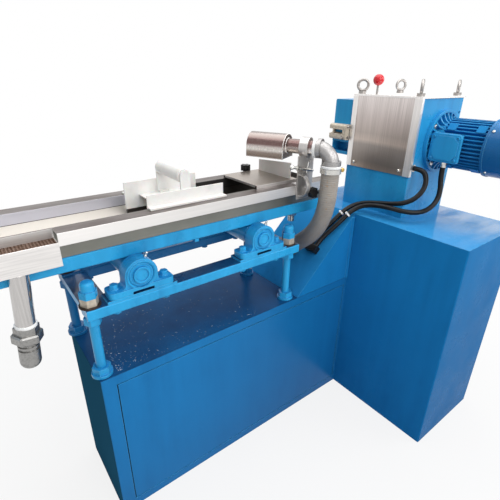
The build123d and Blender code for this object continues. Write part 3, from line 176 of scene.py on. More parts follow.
class LineColours(bpy.types.PropertyGroup):
    """Colours of the finishes."""

    blue: colour("Blue", "Enamel of the base, the cabinet and the motor", (0.012, 0.207, 0.510))
    # Thick enamel; also darker towards the bottom; and painted shade on the cabinet's near face, the base's
    # right part and the frame's far side, and over the whole fan cowl
    blue_deep_and_shade: colour("Deep blue", "Enamel where it is thick or dirty", (0.007, 0.114, 0.312))
    # Painted light and shade: the tone given to top faces, in patches
    blue_top_lighting: colour("Top blue", "Enamel under the dust on top faces", (0.040, 0.290, 0.610))
    # Painted light: a lit copy of the blue for the frame and its bearings, whose near faces catch the light
    blue_frame_lit: colour("Frame blue", "Fresher enamel of the frame and its bearings", (0.030, 0.420, 0.800))
    # Painted light: a lit copy of the blue for the cutter, flange and terminal box
    blue_cutter_lit: colour("Cutter blue", "Enamel of the cutter, flange and terminal box", (0.024, 0.330, 0.660))
    # Painted shade: the beams' top faces, dark in the shadow of the trough
    blue_beam_top_shade: colour("Oily blue", "Top faces of the beams, dark with oil", (0.005, 0.034, 0.105))
    # Painted highlight: the pale blue along the edges, where they catch the light
    blue_edge_highlight: colour("Edge blue", "Enamel worn thin along the edges", (0.100, 0.430, 0.740))
    # Painted shade: the dark tone of the base's left end, which faces away from the light
    base_end_shade: colour("Base end", "Dull left end of the base", (0.022, 0.110, 0.190))
    seam: colour("Seam", "Shadow gap around the front panel", (0.002, 0.006, 0.014))
    deck: colour("Deck", "Wet enamel of the deck", (0.006, 0.055, 0.160))
    steel: colour("Steel", "Brushed stainless sheet", (0.62, 0.60, 0.585))
    # Painted reflection: the dark brown that the trough's flanges mirror
    reflection_and_stain: colour("Film", "Mineral film on the trough's flanges", (0.070, 0.047, 0.040))
    glare: colour("Glare", "Bright left part of the trough's lips", (0.97, 0.945, 0.92))
    # Painted shade: the outer walls of the trough, shadowed under the overhang of the lips
    outer_wall_shade: colour("Olive", "Dull outer wall of the trough", (0.150, 0.155, 0.130))
    # Painted reflection: the lavender tone of the hems inside the trough
    inner: colour("Inner hem", "Folded hems inside the trough", (0.57, 0.57, 0.63))
    # Painted reflection: the bright cream of the inner walls below the hems
    wall: colour("Inner wall", "Inner walls of the trough, below the hems", (0.83, 0.805, 0.755))
    # Painted shade with wet residue: the dark inside of the trough from the guide on, and the painted shadow
    # line under the hems
    dregs_and_shade: colour("Dregs", "Wet dregs inside the trough, from the guide on", (0.055, 0.046, 0.040))
    tray: colour("Tray", "Stained delivery tray", (0.30, 0.235, 0.175))
    forged: colour("Forged", "Grey forged eye bolts, guide bolts and lever stem", (0.36, 0.34, 0.325))
    screen: colour("Screen", "Stained overflow screen", (0.12, 0.065, 0.04))
    zinc: colour("Zinc", "Plated screws, cable glands, hose clip and drain tap", (0.66, 0.65, 0.62))
    casting: colour("Casting", "Satin elbow casting", (0.37, 0.36, 0.355))
    dark_casting: colour("Dark casting", "Drain fitting", (0.34, 0.335, 0.325))
    plastic: colour("Plastic", "Milky strand guide, roller and splash plate", (0.80, 0.79, 0.765))
    black: colour("Black", "Knobs, cable entry, hose spigot and cables", (0.008, 0.008, 0.009))
    red: colour("Red", "Ball of the lift lever", (0.66, 0.008, 0.018))
    hose: colour("Hose", "Suction hose", (0.36, 0.325, 0.285))
    hose_foot: colour("Hose foot", "Lower part of the hose", (0.17, 0.165, 0.165))
    hose_stain: colour("Hose stain", "Rusty specks on the hose", (0.36, 0.20, 0.09))
    brass: colour("Brass", "Screw of the hose clip", (0.62, 0.42, 0.13))
    nylon: colour("Nylon", "Cable ties", (0.86, 0.86, 0.84))
    beige: colour("Beige", "Cast infeed guide and bare nuts", (0.60, 0.53, 0.43))
    washer: colour("Washer", "Dark washers under the post nuts", (0.035, 0.022, 0.016))
    sealing: colour("Sealing", "White sealing rings of the suction pipe and the drain", (0.92, 0.92, 0.91))
    grooves: colour("Grooves", "Dark brushed lines of the cover and the hood", (0.22, 0.19, 0.17))
    water: colour("Water", "Water drops on the deck", (0.62, 0.76, 0.88))
    floor: colour("Floor", "Studio floor", (0.66, 0.66, 0.66))


def sizes():
    """The sizes that the scene holds."""
    return bpy.context.scene.line_sizes


def colours():
    """The colours that the scene holds."""
    return bpy.context.scene.line_colours


def rgba(tint):
    """A colour with full cover."""
    return (*tint, 1.0)


def toned(tint, share):
    """A colour made lighter or darker by a share."""
    return [part * share for part in tint]


# Nodes

def add_node(owner, kind, **settings):
    """A node in a material or a world, with its settings."""
    node = owner.node_tree.nodes.new(kind)
    for name, value in settings.items():
        setattr(node, name, value)
    return node


def link(owner, start, end):
    """Joins one socket to another."""
    owner.node_tree.links.new(start, end)


def set_values(node, values):
    """Sets a node's sockets, each by its name."""
    for name, value in values.items():
        node.inputs[name].default_value = value


def reckon(owner, operation, *sources):
    """The result of a math node. Each source is a plain value or a socket."""
    node = add_node(owner, "ShaderNodeMath", operation=operation)
    for socket, source in zip(node.inputs, sources):
        if isinstance(source, bpy.types.NodeSocket):
            link(owner, source, socket)
        else:
            socket.default_value = source
    return node.outputs["Value"]


def coat(name, tint, metallic, roughness):
    """A new material with its shader's plain values, and the shader."""
    material = bpy.data.materials.new(name)
    material.use_nodes = True
    material.diffuse_color = rgba(tint)
    shader = material.node_tree.nodes["Principled BSDF"]
    set_values(shader, {"Base Color": rgba(tint), "Metallic": metallic, "Roughness": roughness})
    return material, shader


def grain(material, scale, stretch=(1, 1, 1), detail=4.0, rough=0.55):
    """A noise pattern on the piece's own coordinates."""
    place = add_node(material, "ShaderNodeTexCoord")
    mapping = add_node(material, "ShaderNodeMapping")
    set_values(mapping, {"Scale": stretch})
    noise = add_node(material, "ShaderNodeTexNoise")
    set_values(noise, {"Scale": scale, "Detail": detail, "Roughness": rough})
    link(material, place.outputs["Object"], mapping.inputs["Vector"])
    link(material, mapping.outputs["Vector"], noise.inputs["Vector"])
    return noise.outputs["Fac"]


def spread(material, value, low, high, start=0.3, end=0.7):
    """A pattern's values from start to end, spread between two limits."""
    node = add_node(material, "ShaderNodeMapRange", clamp=True)
    set_values(node, {"From Min": start, "From Max": end, "To Min": low, "To Max": high})
    link(material, value, node.inputs["Value"])
    return node.outputs["Result"]


def mix(material, factor, first, second):
    """A colour between two others. Each is a colour or a socket."""
    node = add_node(material, "ShaderNodeMix", data_type="RGBA")
    link(material, factor, node.inputs["Factor"])
    for socket, source in ((node.inputs[6], first), (node.inputs[7], second)):
        if isinstance(source, bpy.types.NodeSocket):
            link(material, source, socket)
        else:
            socket.default_value = rgba(source)
    return node.outputs[2]


def times(material, *patterns):
    """Patterns multiplied."""
    product = patterns[0]
    for pattern in patterns[1:]:
        product = reckon(material, "MULTIPLY", product, pattern)
    return product


def within(material, value, middle, margin):
    """1 where a value lies within a margin of another."""
    return reckon(material, "COMPARE", value, middle, margin)


def part_of(material, vector, axis):
    """One of the three parts of a vector."""
    parts = add_node(material, "ShaderNodeSeparateXYZ")
    link(material, vector, parts.inputs["Vector"])
    return parts.outputs[axis]


def place_along(material, axis):
    """A place along one of the line's axes, in metres."""
    place = add_node(material, "ShaderNodeTexCoord")
    return part_of(material, place.outputs["Object"], axis)


def off_middle(material):
    """The distance from the trough's middle line, in metres."""
    return reckon(material, "ABSOLUTE", place_along(material, "Y"))


def height_between(material, low, high):
    """0 below a height, 1 above a higher one, and a slope between them."""
    return spread(material, place_along(material, "Z"), 0.0, 1.0, low, high)


def facing(material, axis="Z", start=0.6, end=0.9):
    """1 where the surface faces along an axis, or against it where start and end are negative."""
    shape = add_node(material, "ShaderNodeNewGeometry")
    return spread(material, part_of(material, shape.outputs["Normal"], axis), 0.0, 1.0, start, end)


def soft_edges(material, radius):
    """A surface direction that rounds sharp edges, so that they catch the light."""
    node = add_node(material, "ShaderNodeBevel", samples=4)
    set_values(node, {"Radius": radius})
    return node.outputs["Normal"]


def edge_highlight(material, radius):
    """Near 1 along sharp edges, where the rounded direction leaves the flat one: the mask of the painted edge
    highlights.
    """
    shape = add_node(material, "ShaderNodeNewGeometry")
    apart = add_node(material, "ShaderNodeVectorMath", operation="DOT_PRODUCT")
    link(material, soft_edges(material, radius), apart.inputs[0])
    link(material, shape.outputs["True Normal"], apart.inputs[1])
    return spread(material, apart.outputs["Value"], 0.0, 0.75, 0.95, 0.76)


def relief(material, shader, value, strength, distance, edge=0.0):
    """Raises the surface by a pattern, and rounds its edges by a radius."""
    node = add_node(material, "ShaderNodeBump")
    set_values(node, {"Strength": strength, "Distance": distance})
    link(material, value, node.inputs["Height"])
    if edge:
        link(material, soft_edges(material, edge), node.inputs["Normal"])
    link(material, node.outputs["Normal"], shader.inputs["Normal"])


def dress(material, shader, body, roughness):
    """Gives the shader its colour and its roughness."""
    link(material, body, shader.inputs["Base Color"])
    link(material, roughness, shader.inputs["Roughness"])


# Finishes

def enamel(name, tint, top, shine=0.22, top_share=(0.55, 0.9), marks=(), wet=False):
    """Glossy enamel, brushed on: thin and thick places, darker towards the bottom, top faces in another tone
    in patches as painted light and shade, and painted highlights along the edges.
    """
    tints = colours()
    material, shader = coat(name, tint, 0.0, 0.34)
    set_values(shader, {"Specular IOR Level": shine})
    cloud = spread(material, grain(material, 5.0, detail=5.0), 0.0, 1.0)
    streak = spread(material, grain(material, 22.0, (1, 1, 0.12), 3.0), 0.0, 0.6)
    body = mix(material, times(material, cloud, streak), tint, tints.blue_deep_and_shade)
    low = spread(material, height_between(material, 0.05, 0.62), 0.45, 0.0, 0.0, 1.0)
    body = mix(material, low, body, tints.blue_deep_and_shade)
    # Painted light and shade: top faces take the top tone, in patches
    top_lighting = times(material, facing(material), spread(material, grain(material, 60.0), *top_share))
    body = mix(material, top_lighting, body, top)
    for mark in marks:
        body = mark(material, body)
    # Painted highlight along sharp edges
    body = mix(material, edge_highlight(material, EDGE_HIGHLIGHT), body, tints.blue_edge_highlight)
    if wet:
        body = wet_deck(material, shader, body)
        rough = (0.24, 0.42)
    else:
        top_gloss(material, shader)
        rough = (0.22, 0.40)
    dress(material, shader, body, spread(material, grain(material, 14.0), *rough))
    relief(material, shader, grain(material, 160.0, detail=2.0), 0.10, 0.0005, SOFT_EDGE)
    return material


def base_marks(material, body):
    """Painted shade on the base: its right part darker towards the corner with the cabinet, its left end dark
    as it faces away from the light; and the shadow gap around its front panel.
    """
    tints = colours()
    # Painted shade towards the corner with the cabinet
    right = spread(material, place_along(material, "X"), 0.0, 0.50, -0.25, 0.20)
    body = mix(material, right, body, tints.blue_deep_and_shade)
    body = mix(material, facing(material, "X", -0.6, -0.9), body, tints.base_end_shade)
    panel_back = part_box("base_front_panel")[1][1]
    gap = within(material, place_along(material, "Y"), panel_back, 0.0006)
    return mix(material, gap, body, tints.seam)


def cabinet_front(material, body):
    """Painted shade on the cabinet's near face: deeper in tone than the rest and most of all low down."""
    low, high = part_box("cutter_cabinet")
    front = times(
        material,
        facing(material, "Y", -0.6, -0.9),
        within(material, place_along(material, "Y"), low[1], 0.002),
        spread(material, place_along(material, "Z"), 0.70, 0.45, 0.30, high[2]),
    )
    return mix(material, front, body, colours().blue_deep_and_shade)


def far_shade(material, body):
    """The frame's far side, which lies in shade."""
    far = spread(material, place_along(material, "Y"), 0.0, 0.85, 0.0, 0.07)
    return mix(material, far, body, colours().blue_deep_and_shade)


def wet_deck(material, shader, body):
    """Puddles on the deck, and a coat of water everywhere but on the base's left end."""
    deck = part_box("base_box")[1][2]
    wet = height_between(material, deck - 0.002, deck - 0.0008)
    puddle = spread(material, grain(material, 9.0, detail=3.0), 0.80, 1.0)
    set_values(shader, {"Coat Roughness": 0.28, "Coat IOR": 1.18})
    link(material, facing(material, "X", -0.9, -0.6), shader.inputs["Coat Weight"])
    return mix(material, times(material, wet, puddle), body, colours().deck)


def top_gloss(material, shader):
    """A glossy coat on level faces only, in patches and brightest to the right."""
    set_values(shader, {"Coat Roughness": 0.07, "Coat IOR": 4.0})
    level = facing(material, "Z", 0.97, 0.995)
    patches = spread(material, grain(material, 11.0, (0.5, 1.6, 1), 4.0), 0.25, 1.0, 0.35, 0.6)
    right = spread(material, place_along(material, "X"), 0.20, 1.0, 0.54, 0.72)
    link(material, times(material, level, patches, right), shader.inputs["Coat Weight"])


def brushed(name, stretch, reflection_and_stain=0.0, tone=1.0, rough=(0.22, 0.40), stained=None, marks=(), metallic=0.88):
    """Brushed stainless sheet: fine lines along one way, and another tone on top faces, a painted reflection
    on the trough's flanges and a stained tone on the tray.
    """
    tints = colours()
    tint = toned(tints.steel, tone)
    material, shader = coat(name, tint, metallic, 0.3)
    lines = grain(material, LINE_SCALE, stretch, 2.0, 0.6)
    cloud = grain(material, 7.0, detail=4.0)
    darker = toned(tint, 0.74)
    body = mix(material, spread(material, lines, 0.0, 0.6, 0.35, 0.7), tint, darker)
    body = mix(material, spread(material, cloud, 0.0, 0.4, 0.5, 0.75), body, darker)
    # Painted reflection on the trough's flanges; on the tray a stained tone
    if reflection_and_stain:
        top_patches = spread(material, grain(material, 16.0, (0.35, 1, 1), 5.0), 0.72 * reflection_and_stain, reflection_and_stain)
        body = mix(material, times(material, facing(material), top_patches), body, stained or tints.reflection_and_stain)
    for mark in marks:
        body = mark(material, body)
    dress(material, shader, body, spread(material, cloud, *rough))
    relief(material, shader, lines, 0.10, 0.0002, 0.0010)
    return material


def outer_walls(material, body):
    """Painted shade on the trough's outer walls past the overflow box, under the overhang of their lips, and
    the glare on its lips.
    """
    tints = colours()
    side = off_middle(material)
    shade_share = spread(material, grain(material, 9.0, (0.5, 1, 1), 5.0), 0.80, 0.96)
    box_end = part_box("overflow_box")[1][0]
    past_box = spread(material, place_along(material, "X"), 0.0, 1.0, box_end - 0.001, box_end + 0.001)
    # Painted shade on the outer walls
    outer = times(material, within(material, side, TROUGH_HALF_WIDTH, WALL_SKIN), shade_share, past_box)
    body = mix(material, outer, body, tints.outer_wall_shade)
    lip = within(material, side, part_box("trough_wall_far")[1][1], WALL_SKIN)
    glare = spread(material, place_along(material, "X"), 0.85, 0.0, -0.50, 0.12)
    return mix(material, times(material, lip, glare), body, tints.glare)


def inner_walls(material, body):
    """The trough's inner walls in painted reflections, lavender on the hems and bright cream below them, with
    a painted shadow line under their folded hems.
    """
    tints = colours()
    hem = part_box("trough_wall_far")[1][2] - HEM_HEIGHT
    shade = mix(material, height_between(material, hem, hem + 0.0004), tints.wall, tints.inner)
    # Painted shadow line under the hems
    fold = within(material, place_along(material, "Z"), hem, 0.0011)
    shade = mix(material, fold, shade, tints.dregs_and_shade)
    inside = within(material, off_middle(material), 0.0, TROUGH_HALF_HOLLOW)
    upright = facing(material, "Z", 0.5, 0.3)
    return mix(material, times(material, inside, upright), body, shade)


def shade_and_dregs(material, body):
    """Painted shade with wet residue: dark inside the trough, from the strand guide on."""
    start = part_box("guide_insert")[0][0]
    inside = within(material, off_middle(material), 0.0, TROUGH_HALF_HOLLOW)
    behind = spread(material, place_along(material, "X"), 0.0, 0.92, start, start + 0.004)
    return mix(material, times(material, inside, behind), body, colours().dregs_and_shade)


# Painted reflections of a room in the mirroring sheet: tones, each with its share of the height
COVER_BANDS = (
    (0.0, (0.42, 0.33, 0.27)), (0.10, (0.27, 0.235, 0.21)), (0.34, (0.38, 0.34, 0.315)),
    (0.40, (0.60, 0.51, 0.455)), (0.50, (0.48, 0.415, 0.38)), (0.72, (0.60, 0.53, 0.505)),
    (1.0, (0.80, 0.735, 0.715)),
)
HOOD_BANDS = (
    (0.0, (0.70, 0.66, 0.63)), (0.05, (0.22, 0.17, 0.145)), (0.22, (0.34, 0.285, 0.255)),
    (0.34, (0.90, 0.86, 0.83)), (0.44, (0.74, 0.68, 0.65)), (0.56, (0.17, 0.095, 0.09)),
    (0.74, (0.13, 0.075, 0.072)), (0.88, (0.25, 0.205, 0.19)), (1.0, (0.34, 0.30, 0.285)),
)


def banded(name, node, bands, stretch, wander_share=0.10, rough=(0.26, 0.40)):
    """Brushed steel with painted reflections: its tone changes with height, in bands that wander a little."""
    tints = colours()
    low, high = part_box(node)
    material, shader = coat(name, tints.steel, 0.9, 0.3)
    ramp = add_node(material, "ShaderNodeValToRGB")
    stops = ramp.color_ramp.elements
    for stop, (where, tint) in ((stops[0], bands[0]), (stops[1], bands[-1])):
        stop.position, stop.color = where, rgba(tint)
    for where, tint in bands[1:-1]:
        stops.new(where).color = rgba(tint)
    wander = grain(material, 3.0, (1, 1, 0.35), 3.0)
    place = height_between(material, low[2], high[2])
    shifted = reckon(material, "MULTIPLY_ADD", wander, wander_share, place)
    link(material, reckon(material, "SUBTRACT", shifted, wander_share / 2), ramp.inputs["Fac"])
    lines = grain(material, LINE_SCALE, stretch, 2.0, 0.6)
    grooves = spread(material, lines, 0.0, 0.35, 0.35, 0.7)
    body = mix(material, grooves, ramp.outputs["Color"], tints.grooves)
    dress(material, shader, body, spread(material, wander, *rough))
    relief(material, shader, lines, 0.10, 0.0002, 0.0008)
    return material


def post_hardware(name):
    """Bare nuts over dark washers, on the posts."""
    tints = colours()
    washer_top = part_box("top_nuts")[0][2] + WASHER_HEIGHT
    material, shader = coat(name, tints.beige, 0.45, 0.42)
    skin = grain(material, 120.0, detail=5.0)
    spots = spread(material, skin, 0.0, 0.7, 0.45, 0.75)
    body = mix(material, spots, tints.beige, toned(tints.beige, 0.6))
    nut = height_between(material, washer_top, washer_top + 0.0004)
    body = mix(material, nut, tints.washer, body)
    dress(material, shader, body, spread(material, skin, 0.34, 0.55))
    relief(material, shader, skin, 0.25, 0.0004, 0.0010)
    return material


def metal(name, tint, roughness, lumps=90.0, height=0.0004, metallic=1.0):
    """Plated, forged or cast metal with a fine uneven skin."""
    material, shader = coat(name, tint, metallic, roughness)
    skin = grain(material, lumps, detail=5.0)
    spots = spread(material, skin, 0.0, 0.75, 0.45, 0.75)
    rough = spread(material, skin, roughness * 0.8, min(1.0, roughness * 1.35))
    dress(material, shader, mix(material, spots, tint, toned(tint, 0.62)), rough)
    relief(material, shader, skin, 0.25, height)
    return material


def smudged(material, tint, share):
    """A colour with faint smudges of a lighter or darker tone."""
    smudges = spread(material, grain(material, 24.0, detail=6.0), 0.0, 1.0, 0.5, 0.8)
    return mix(material, smudges, tint, toned(tint, share))


def plastic(name, tint, roughness, smudge=0.85, through=0.0, shine=0.5):
    """Moulded or machined plastic with faint smudges. Light goes through a milky one."""
    material, shader = coat(name, tint, 0.0, roughness)
    set_values(shader, {"Specular IOR Level": shine, "Subsurface Weight": through, "Subsurface Scale": 0.004})
    rough = spread(material, grain(material, 70.0), roughness * 0.8, min(1.0, roughness * 1.2))
    dress(material, shader, smudged(material, tint, smudge), rough)
    relief(material, shader, grain(material, FINE_SKIN, detail=2.0), 0.08, 0.0003)
    return material


def hose_wall(name):
    """Flexible hose, tan above and grey at its foot, with rusty specks."""
    tints = colours()
    low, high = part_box("suction_hose")
    rise = (high[2] - low[2]) * 0.25
    material, shader = coat(name, tints.hose, 0.0, 0.5)
    skin = grain(material, 34.0, detail=6.0)
    worn = mix(material, spread(material, skin, 0.0, 0.8, 0.45, 0.75), tints.hose, toned(tints.hose, 0.7))
    body = mix(material, height_between(material, low[2] + rise, high[2] - rise), tints.hose_foot, worn)
    specks = spread(material, grain(material, 150.0, detail=2.0), 0.0, 0.55, 0.60, 0.70)
    body = mix(material, specks, body, tints.hose_stain)
    dress(material, shader, body, spread(material, skin, 0.40, 0.60))
    relief(material, shader, grain(material, FINE_SKIN, detail=2.0), 0.10, 0.0003)
    return material


def ball_lever(name):
    """A red plastic ball on a forged stem."""
    tints = colours()
    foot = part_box("lift_lever")[1][2] - BALL_HEIGHT
    material, shader = coat(name, tints.red, 0.0, 0.14)
    ball = height_between(material, foot - 0.0005, foot + 0.0005)
    body = mix(material, ball, tints.forged, smudged(material, tints.red, 0.85))
    dress(material, shader, body, spread(material, grain(material, 70.0), 0.12, 0.18))
    relief(material, shader, grain(material, FINE_SKIN, detail=2.0), 0.06, 0.0002)
    return material


def water_drops(name):
    """Clear water that stands in drops."""
    material, shader = coat(name, colours().water, 0.0, 0.03)
    set_values(shader, {"Transmission Weight": 0.72, "IOR": 1.33})
    return material


FINISHES = {}


def finish(name):
    """A finish by name, made the first time that it is asked for."""
    if name not in FINISHES:
        tints = colours()
        makers = {
            "blue": lambda: enamel("blue_enamel", tints.blue, tints.blue_top_lighting, 0.012, marks=(cabinet_front,)),
            # Painted light: the frame in a lit copy of the blue, its tops darker as painted shade
            "frame": lambda: enamel("frame_enamel", tints.blue_frame_lit, tints.blue, marks=(far_shade,)),
            # Painted light and shade: the beams in a lit copy of the blue, their tops dark as in the trough's
            # shadow
            "beam": lambda: enamel(
                "beam_enamel", tints.blue_frame_lit, tints.blue_beam_top_shade, top_share=(0.92, 1.0), marks=(far_shade,)),
            # Painted light: the cutter in a lit copy of the blue
            "cutter": lambda: enamel("cutter_enamel", tints.blue_cutter_lit, tints.blue_top_lighting),
            # Painted shade: the fan cowl in a shaded copy of the blue, with lighter tops
            "cowl": lambda: enamel("cowl_enamel", tints.blue_deep_and_shade, tints.blue),
            "deck": lambda: enamel("deck_enamel", tints.blue, tints.blue, 0.0, marks=(base_marks,), wet=True),
            "sheet": lambda: brushed(
                "brushed_sheet", (0.02, 1, 1), 0.95, 1.1, (0.30, 0.44),
                marks=(outer_walls, inner_walls, shade_and_dregs)),
            "plate": lambda: brushed("brushed_plate", (1, 1, 0.02), 0.0, 0.9),
            "cover": lambda: banded("cover_plate", "cutter_cover", COVER_BANDS, (1, 1, 0.02)),
            "hood": lambda: banded("hood_sheet", "air_hood", HOOD_BANDS, (1, 1, 0.6), 0.04, (0.20, 0.30)),
            "pan": lambda: brushed(
                "trough_pan", (0.02, 1, 1), 0.0, 1.42, (0.46, 0.60), marks=(shade_and_dregs,), metallic=0.35),
            "post_hardware": lambda: post_hardware("post_hardware"),
            "beige": lambda: metal("beige_casting", tints.beige, 0.5, 160.0, 0.0008, 0.25),
            "sealing": lambda: plastic("sealing_ring", tints.sealing, 0.5, 0.94),
            "bright": lambda: brushed("bright_trim", (1, 1, 0.03), 0.0, 1.45, (0.30, 0.45)),
            "pipe": lambda: brushed("polished_pipe", (1, 1, 0.02), 0.0, 0.95, (0.12, 0.24)),
            "tray": lambda: brushed("tray_sheet", (0.03, 1, 1), 0.78, 1.1, (0.26, 0.40), tints.tray),
            "box": lambda: brushed("box_sheet", (0.04, 1, 1), 0.0, 1.40, (0.30, 0.44)),
            "screen": lambda: metal("stained_screen", tints.screen, 0.55, 200.0, 0.0006, 0.55),
            "zinc": lambda: metal("zinc_plate", tints.zinc, 0.26),
            "forged": lambda: metal("forged_steel", tints.forged, 0.34, 200.0, 0.0006),
            "casting": lambda: metal("satin_casting", tints.casting, 0.42, 260.0, 0.0007),
            "dark_casting": lambda: metal("dark_casting", tints.dark_casting, 0.38, 220.0, 0.0008),
            "white": lambda: plastic("milky_plastic", tints.plastic, 0.42, 0.86, 0.12),
            "black": lambda: plastic("black_plastic", tints.black, 0.34, 1.9, shine=0.3),
            "cable": lambda: plastic("cable_sheath", tints.black, 0.34, 1.6, shine=0.2),
            "red": lambda: ball_lever("ball_lever"),
            "hose": lambda: hose_wall("hose_wall"),
            "brass": lambda: metal("brass", tints.brass, 0.25),
            "nylon": lambda: plastic("nylon_tie", tints.nylon, 0.35, 0.92, 0.1),
            "weld": lambda: metal("bright_weld", tints.steel, 0.34, 300.0, 0.0006),
            "drops": lambda: water_drops("water_drops"),
        }
        FINISHES[name] = makers[name]()
    return FINISHES[name]


NODE_FINISHES = {
    "deck": ("base_box", "base_front_panel"),
    "sheet": ("trough_wall_near", "trough_wall_far"),
    "pan": ("trough_floor",),
    "box": ("overflow_box",),
    "pipe": ("drain_pipe",),
    "hood": ("air_hood",),
    "frame": ("upper_rails", "support_posts", "post_nuts", "bearing_inserts", "front_roller",
              "rear_roller", *(f"pillow_block_{name}" for name in PILLOWS)),
    "beam": ("lower_frame",),
    "cutter": ("cutter_housing", "infeed_head", "terminal_box", "motor_flange"),
    "cowl": ("fan_cowl",),
    "tray": ("tray_plate",),
    "cover": ("cutter_cover",),
    "plate": ("hood_bracket",),
    "bright": ("cover_trims", "cutter_top_plate"),
    "beige": ("infeed_guide",),
    "post_hardware": ("top_nuts",),
    "zinc": ("hose_clip", "drain_tap", "cable_glands"),
    "forged": ("eye_bolts",),
    "casting": ("suction_elbow",),
    "dark_casting": ("drain_fitting",),
    "white": ("guide_insert", "guide_roller", "splash_plate", "roller_brackets"),
    "black": ("clamp_knobs", "cable_entry", "hose_spigot"),
    "red": ("lift_lever",),
}


# Shapes

def put(place, way=UP, roll=0.0):
    """A matrix that moves a shape to a place and turns its Z along a way."""
    turned = Vector(way).to_track_quat("Z", "Y").to_matrix().to_4x4()
    return Matrix.Translation(Vector(place)) @ turned @ Matrix.Rotation(roll, 4, "Z")


def mesh_object(name, shape, material):
    """An object from a bmesh, with its faces turned outwards and its finish on."""
    mesh = bpy.data.meshes.new(name)
    bmesh.ops.recalc_face_normals(shape, faces=shape.faces)
    shape.to_mesh(mesh)
    shape.free()
    mesh.materials.append(finish(material))
    thing = bpy.data.objects.new(name, mesh)
    bpy.context.collection.objects.link(thing)
    return thing


def piece(name, shape, material, body, angle=32.0):
    """A finished piece from a bmesh: smooth but for its sharp edges, riding on a body."""
    thing = mesh_object(name, shape, material)
    thing.data.shade_smooth()
    thing.data.set_sharp_from_angle(angle=math.radians(angle))
    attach(thing, body)
    return thing


def join(shape, part, matrix):
    """Moves a part to its place and adds it to a shape."""
    bmesh.ops.transform(part, matrix=matrix, verts=part.verts)
    mesh = bpy.data.meshes.new("part")
    part.to_mesh(mesh)
    part.free()
    shape.from_mesh(mesh)
    bpy.data.meshes.remove(mesh)


def lathe(shape, profile, place, way=UP, steps=28):
    """Turns a profile of (radius, height) points around a way through a place."""
    part = bmesh.new()
    points = [part.verts.new((radius, 0, height)) for radius, height in profile]
    edges = [part.edges.new(pair) for pair in zip(points, points[1:])]
    bmesh.ops.spin(
        part, geom=points + edges, axis=UP, cent=(0, 0, 0), steps=steps, angle=math.tau, use_merge=True
    )
    bmesh.ops.remove_doubles(part, verts=part.verts, dist=1e-6)
    bmesh.ops.recalc_face_normals(part, faces=part.faces)
    join(shape, part, put(place, way))


def prism(shape, place, way, radius, height, sides=6, bevel=0.0006, roll=0.0):
    """A bar with flat sides and softened edges, such as a bolt's head."""
    part = bmesh.new()
    bmesh.ops.create_cone(
        part, cap_ends=True, segments=sides, radius1=radius, radius2=radius, depth=height
    )
    bmesh.ops.translate(part, verts=part.verts, vec=(0, 0, height / 2))
    top = [e for e in part.edges if all(v.co.z > height * 0.9 for v in e.verts)]
    bmesh.ops.bevel(
        part, geom=top, offset=bevel, segments=2, profile=0.5, affect="EDGES", material=-1
    )
    join(shape, part, put(place, way, roll))


def edges_of(verts):
    """Edges whose two ends are both among these vertices."""
    inside = set(verts)
    return [e for e in {e for v in verts for e in v.link_edges} if set(e.verts) <= inside]


def hex_bolt(shape, place, way, across, roll=0.0):
    """A hexagon bolt's head on a washer."""
    washer = across * 0.68
    thick = across * 0.13
    lathe(shape, [(0, 0), (washer, 0), (washer, thick * 0.7), (washer * 0.94, thick), (0, thick)],
          place, way)
    seat = Vector(place) + Vector(way) * thick
    prism(shape, seat, way, across / math.sqrt(3), across * 0.62, 6, across * 0.06, roll)


def cap_screw(shape, place, way, diameter, height_share=0.45):
    """A low domed screw head with a hexagon socket."""
    radius, tall = diameter / 2, diameter * height_share
    rim, socket, floor = radius * 0.55, radius * 0.5, tall * 0.45
    lathe(shape, [(radius, 0), (radius, tall * 0.35), (radius * 0.86, tall * 0.8), (rim, tall),
                  (socket, tall), (socket, floor), (0, floor)], place, way, 18)


def sweep_tube(shape, points, radii, sides=28):
    """A round tube along points, with a radius at each of them."""
    ways = [(after - before).normalized() for before, after in zip(points, points[1:])]
    ways.append(ways[-1])
    made = bmesh.ops.create_circle(shape, segments=sides, radius=radii[0], cap_ends=False)
    ring = made["verts"]
    turn = ways[0].to_track_quat("Z", "Y")
    bmesh.ops.transform(
        shape, matrix=Matrix.Translation(points[0]) @ turn.to_matrix().to_4x4(), verts=ring
    )
    edges = edges_of(ring)
    for index in range(1, len(points)):
        grown = bmesh.ops.extrude_edge_only(shape, edges=edges)
        ring = [v for v in grown["geom"] if isinstance(v, bmesh.types.BMVert)]
        edges = [e for e in grown["geom"] if isinstance(e, bmesh.types.BMEdge)]
        bend = ways[index - 1].rotation_difference(ways[index])
        scale = radii[index] / radii[index - 1]
        move = (
            Matrix.Translation(points[index])
            @ bend.to_matrix().to_4x4()
            @ Matrix.Scale(scale, 4)
            @ Matrix.Translation(-points[index - 1])
        )
        bmesh.ops.transform(shape, matrix=move, verts=ring)
        edges = edges_of(ring)


def bead(shape, points, width):
    """A weld: overlapping flat drops along a line of points."""
    for point in points:
        made = bmesh.ops.create_icosphere(shape, subdivisions=1, radius=width / 2)
        bmesh.ops.translate(shape, verts=made["verts"], vec=point)


def along(start, end, step):
    """Points from one place to another, a step apart."""
    start, end = Vector(start), Vector(end)
    count = max(2, int((end - start).length / step) + 1)
    return [start.lerp(end, index / (count - 1)) for index in range(count)]


def cord_curve(name, route):
    """A smooth line with a cord's route as its control points."""
    data = bpy.data.curves.new(name, "CURVE")
    data.dimensions = "3D"
    spline = data.splines.new("NURBS")
    spline.points.add(len(route) - 1)
    for point, place in zip(spline.points, route):
        point.co = (*place, 1.0)
    spline.order_u = 3
    spline.use_endpoint_u = True
    spline.resolution_u = 12
    data.resolution_u = 12
    thing = bpy.data.objects.new(name, data)
    bpy.context.collection.objects.link(thing)
    return thing


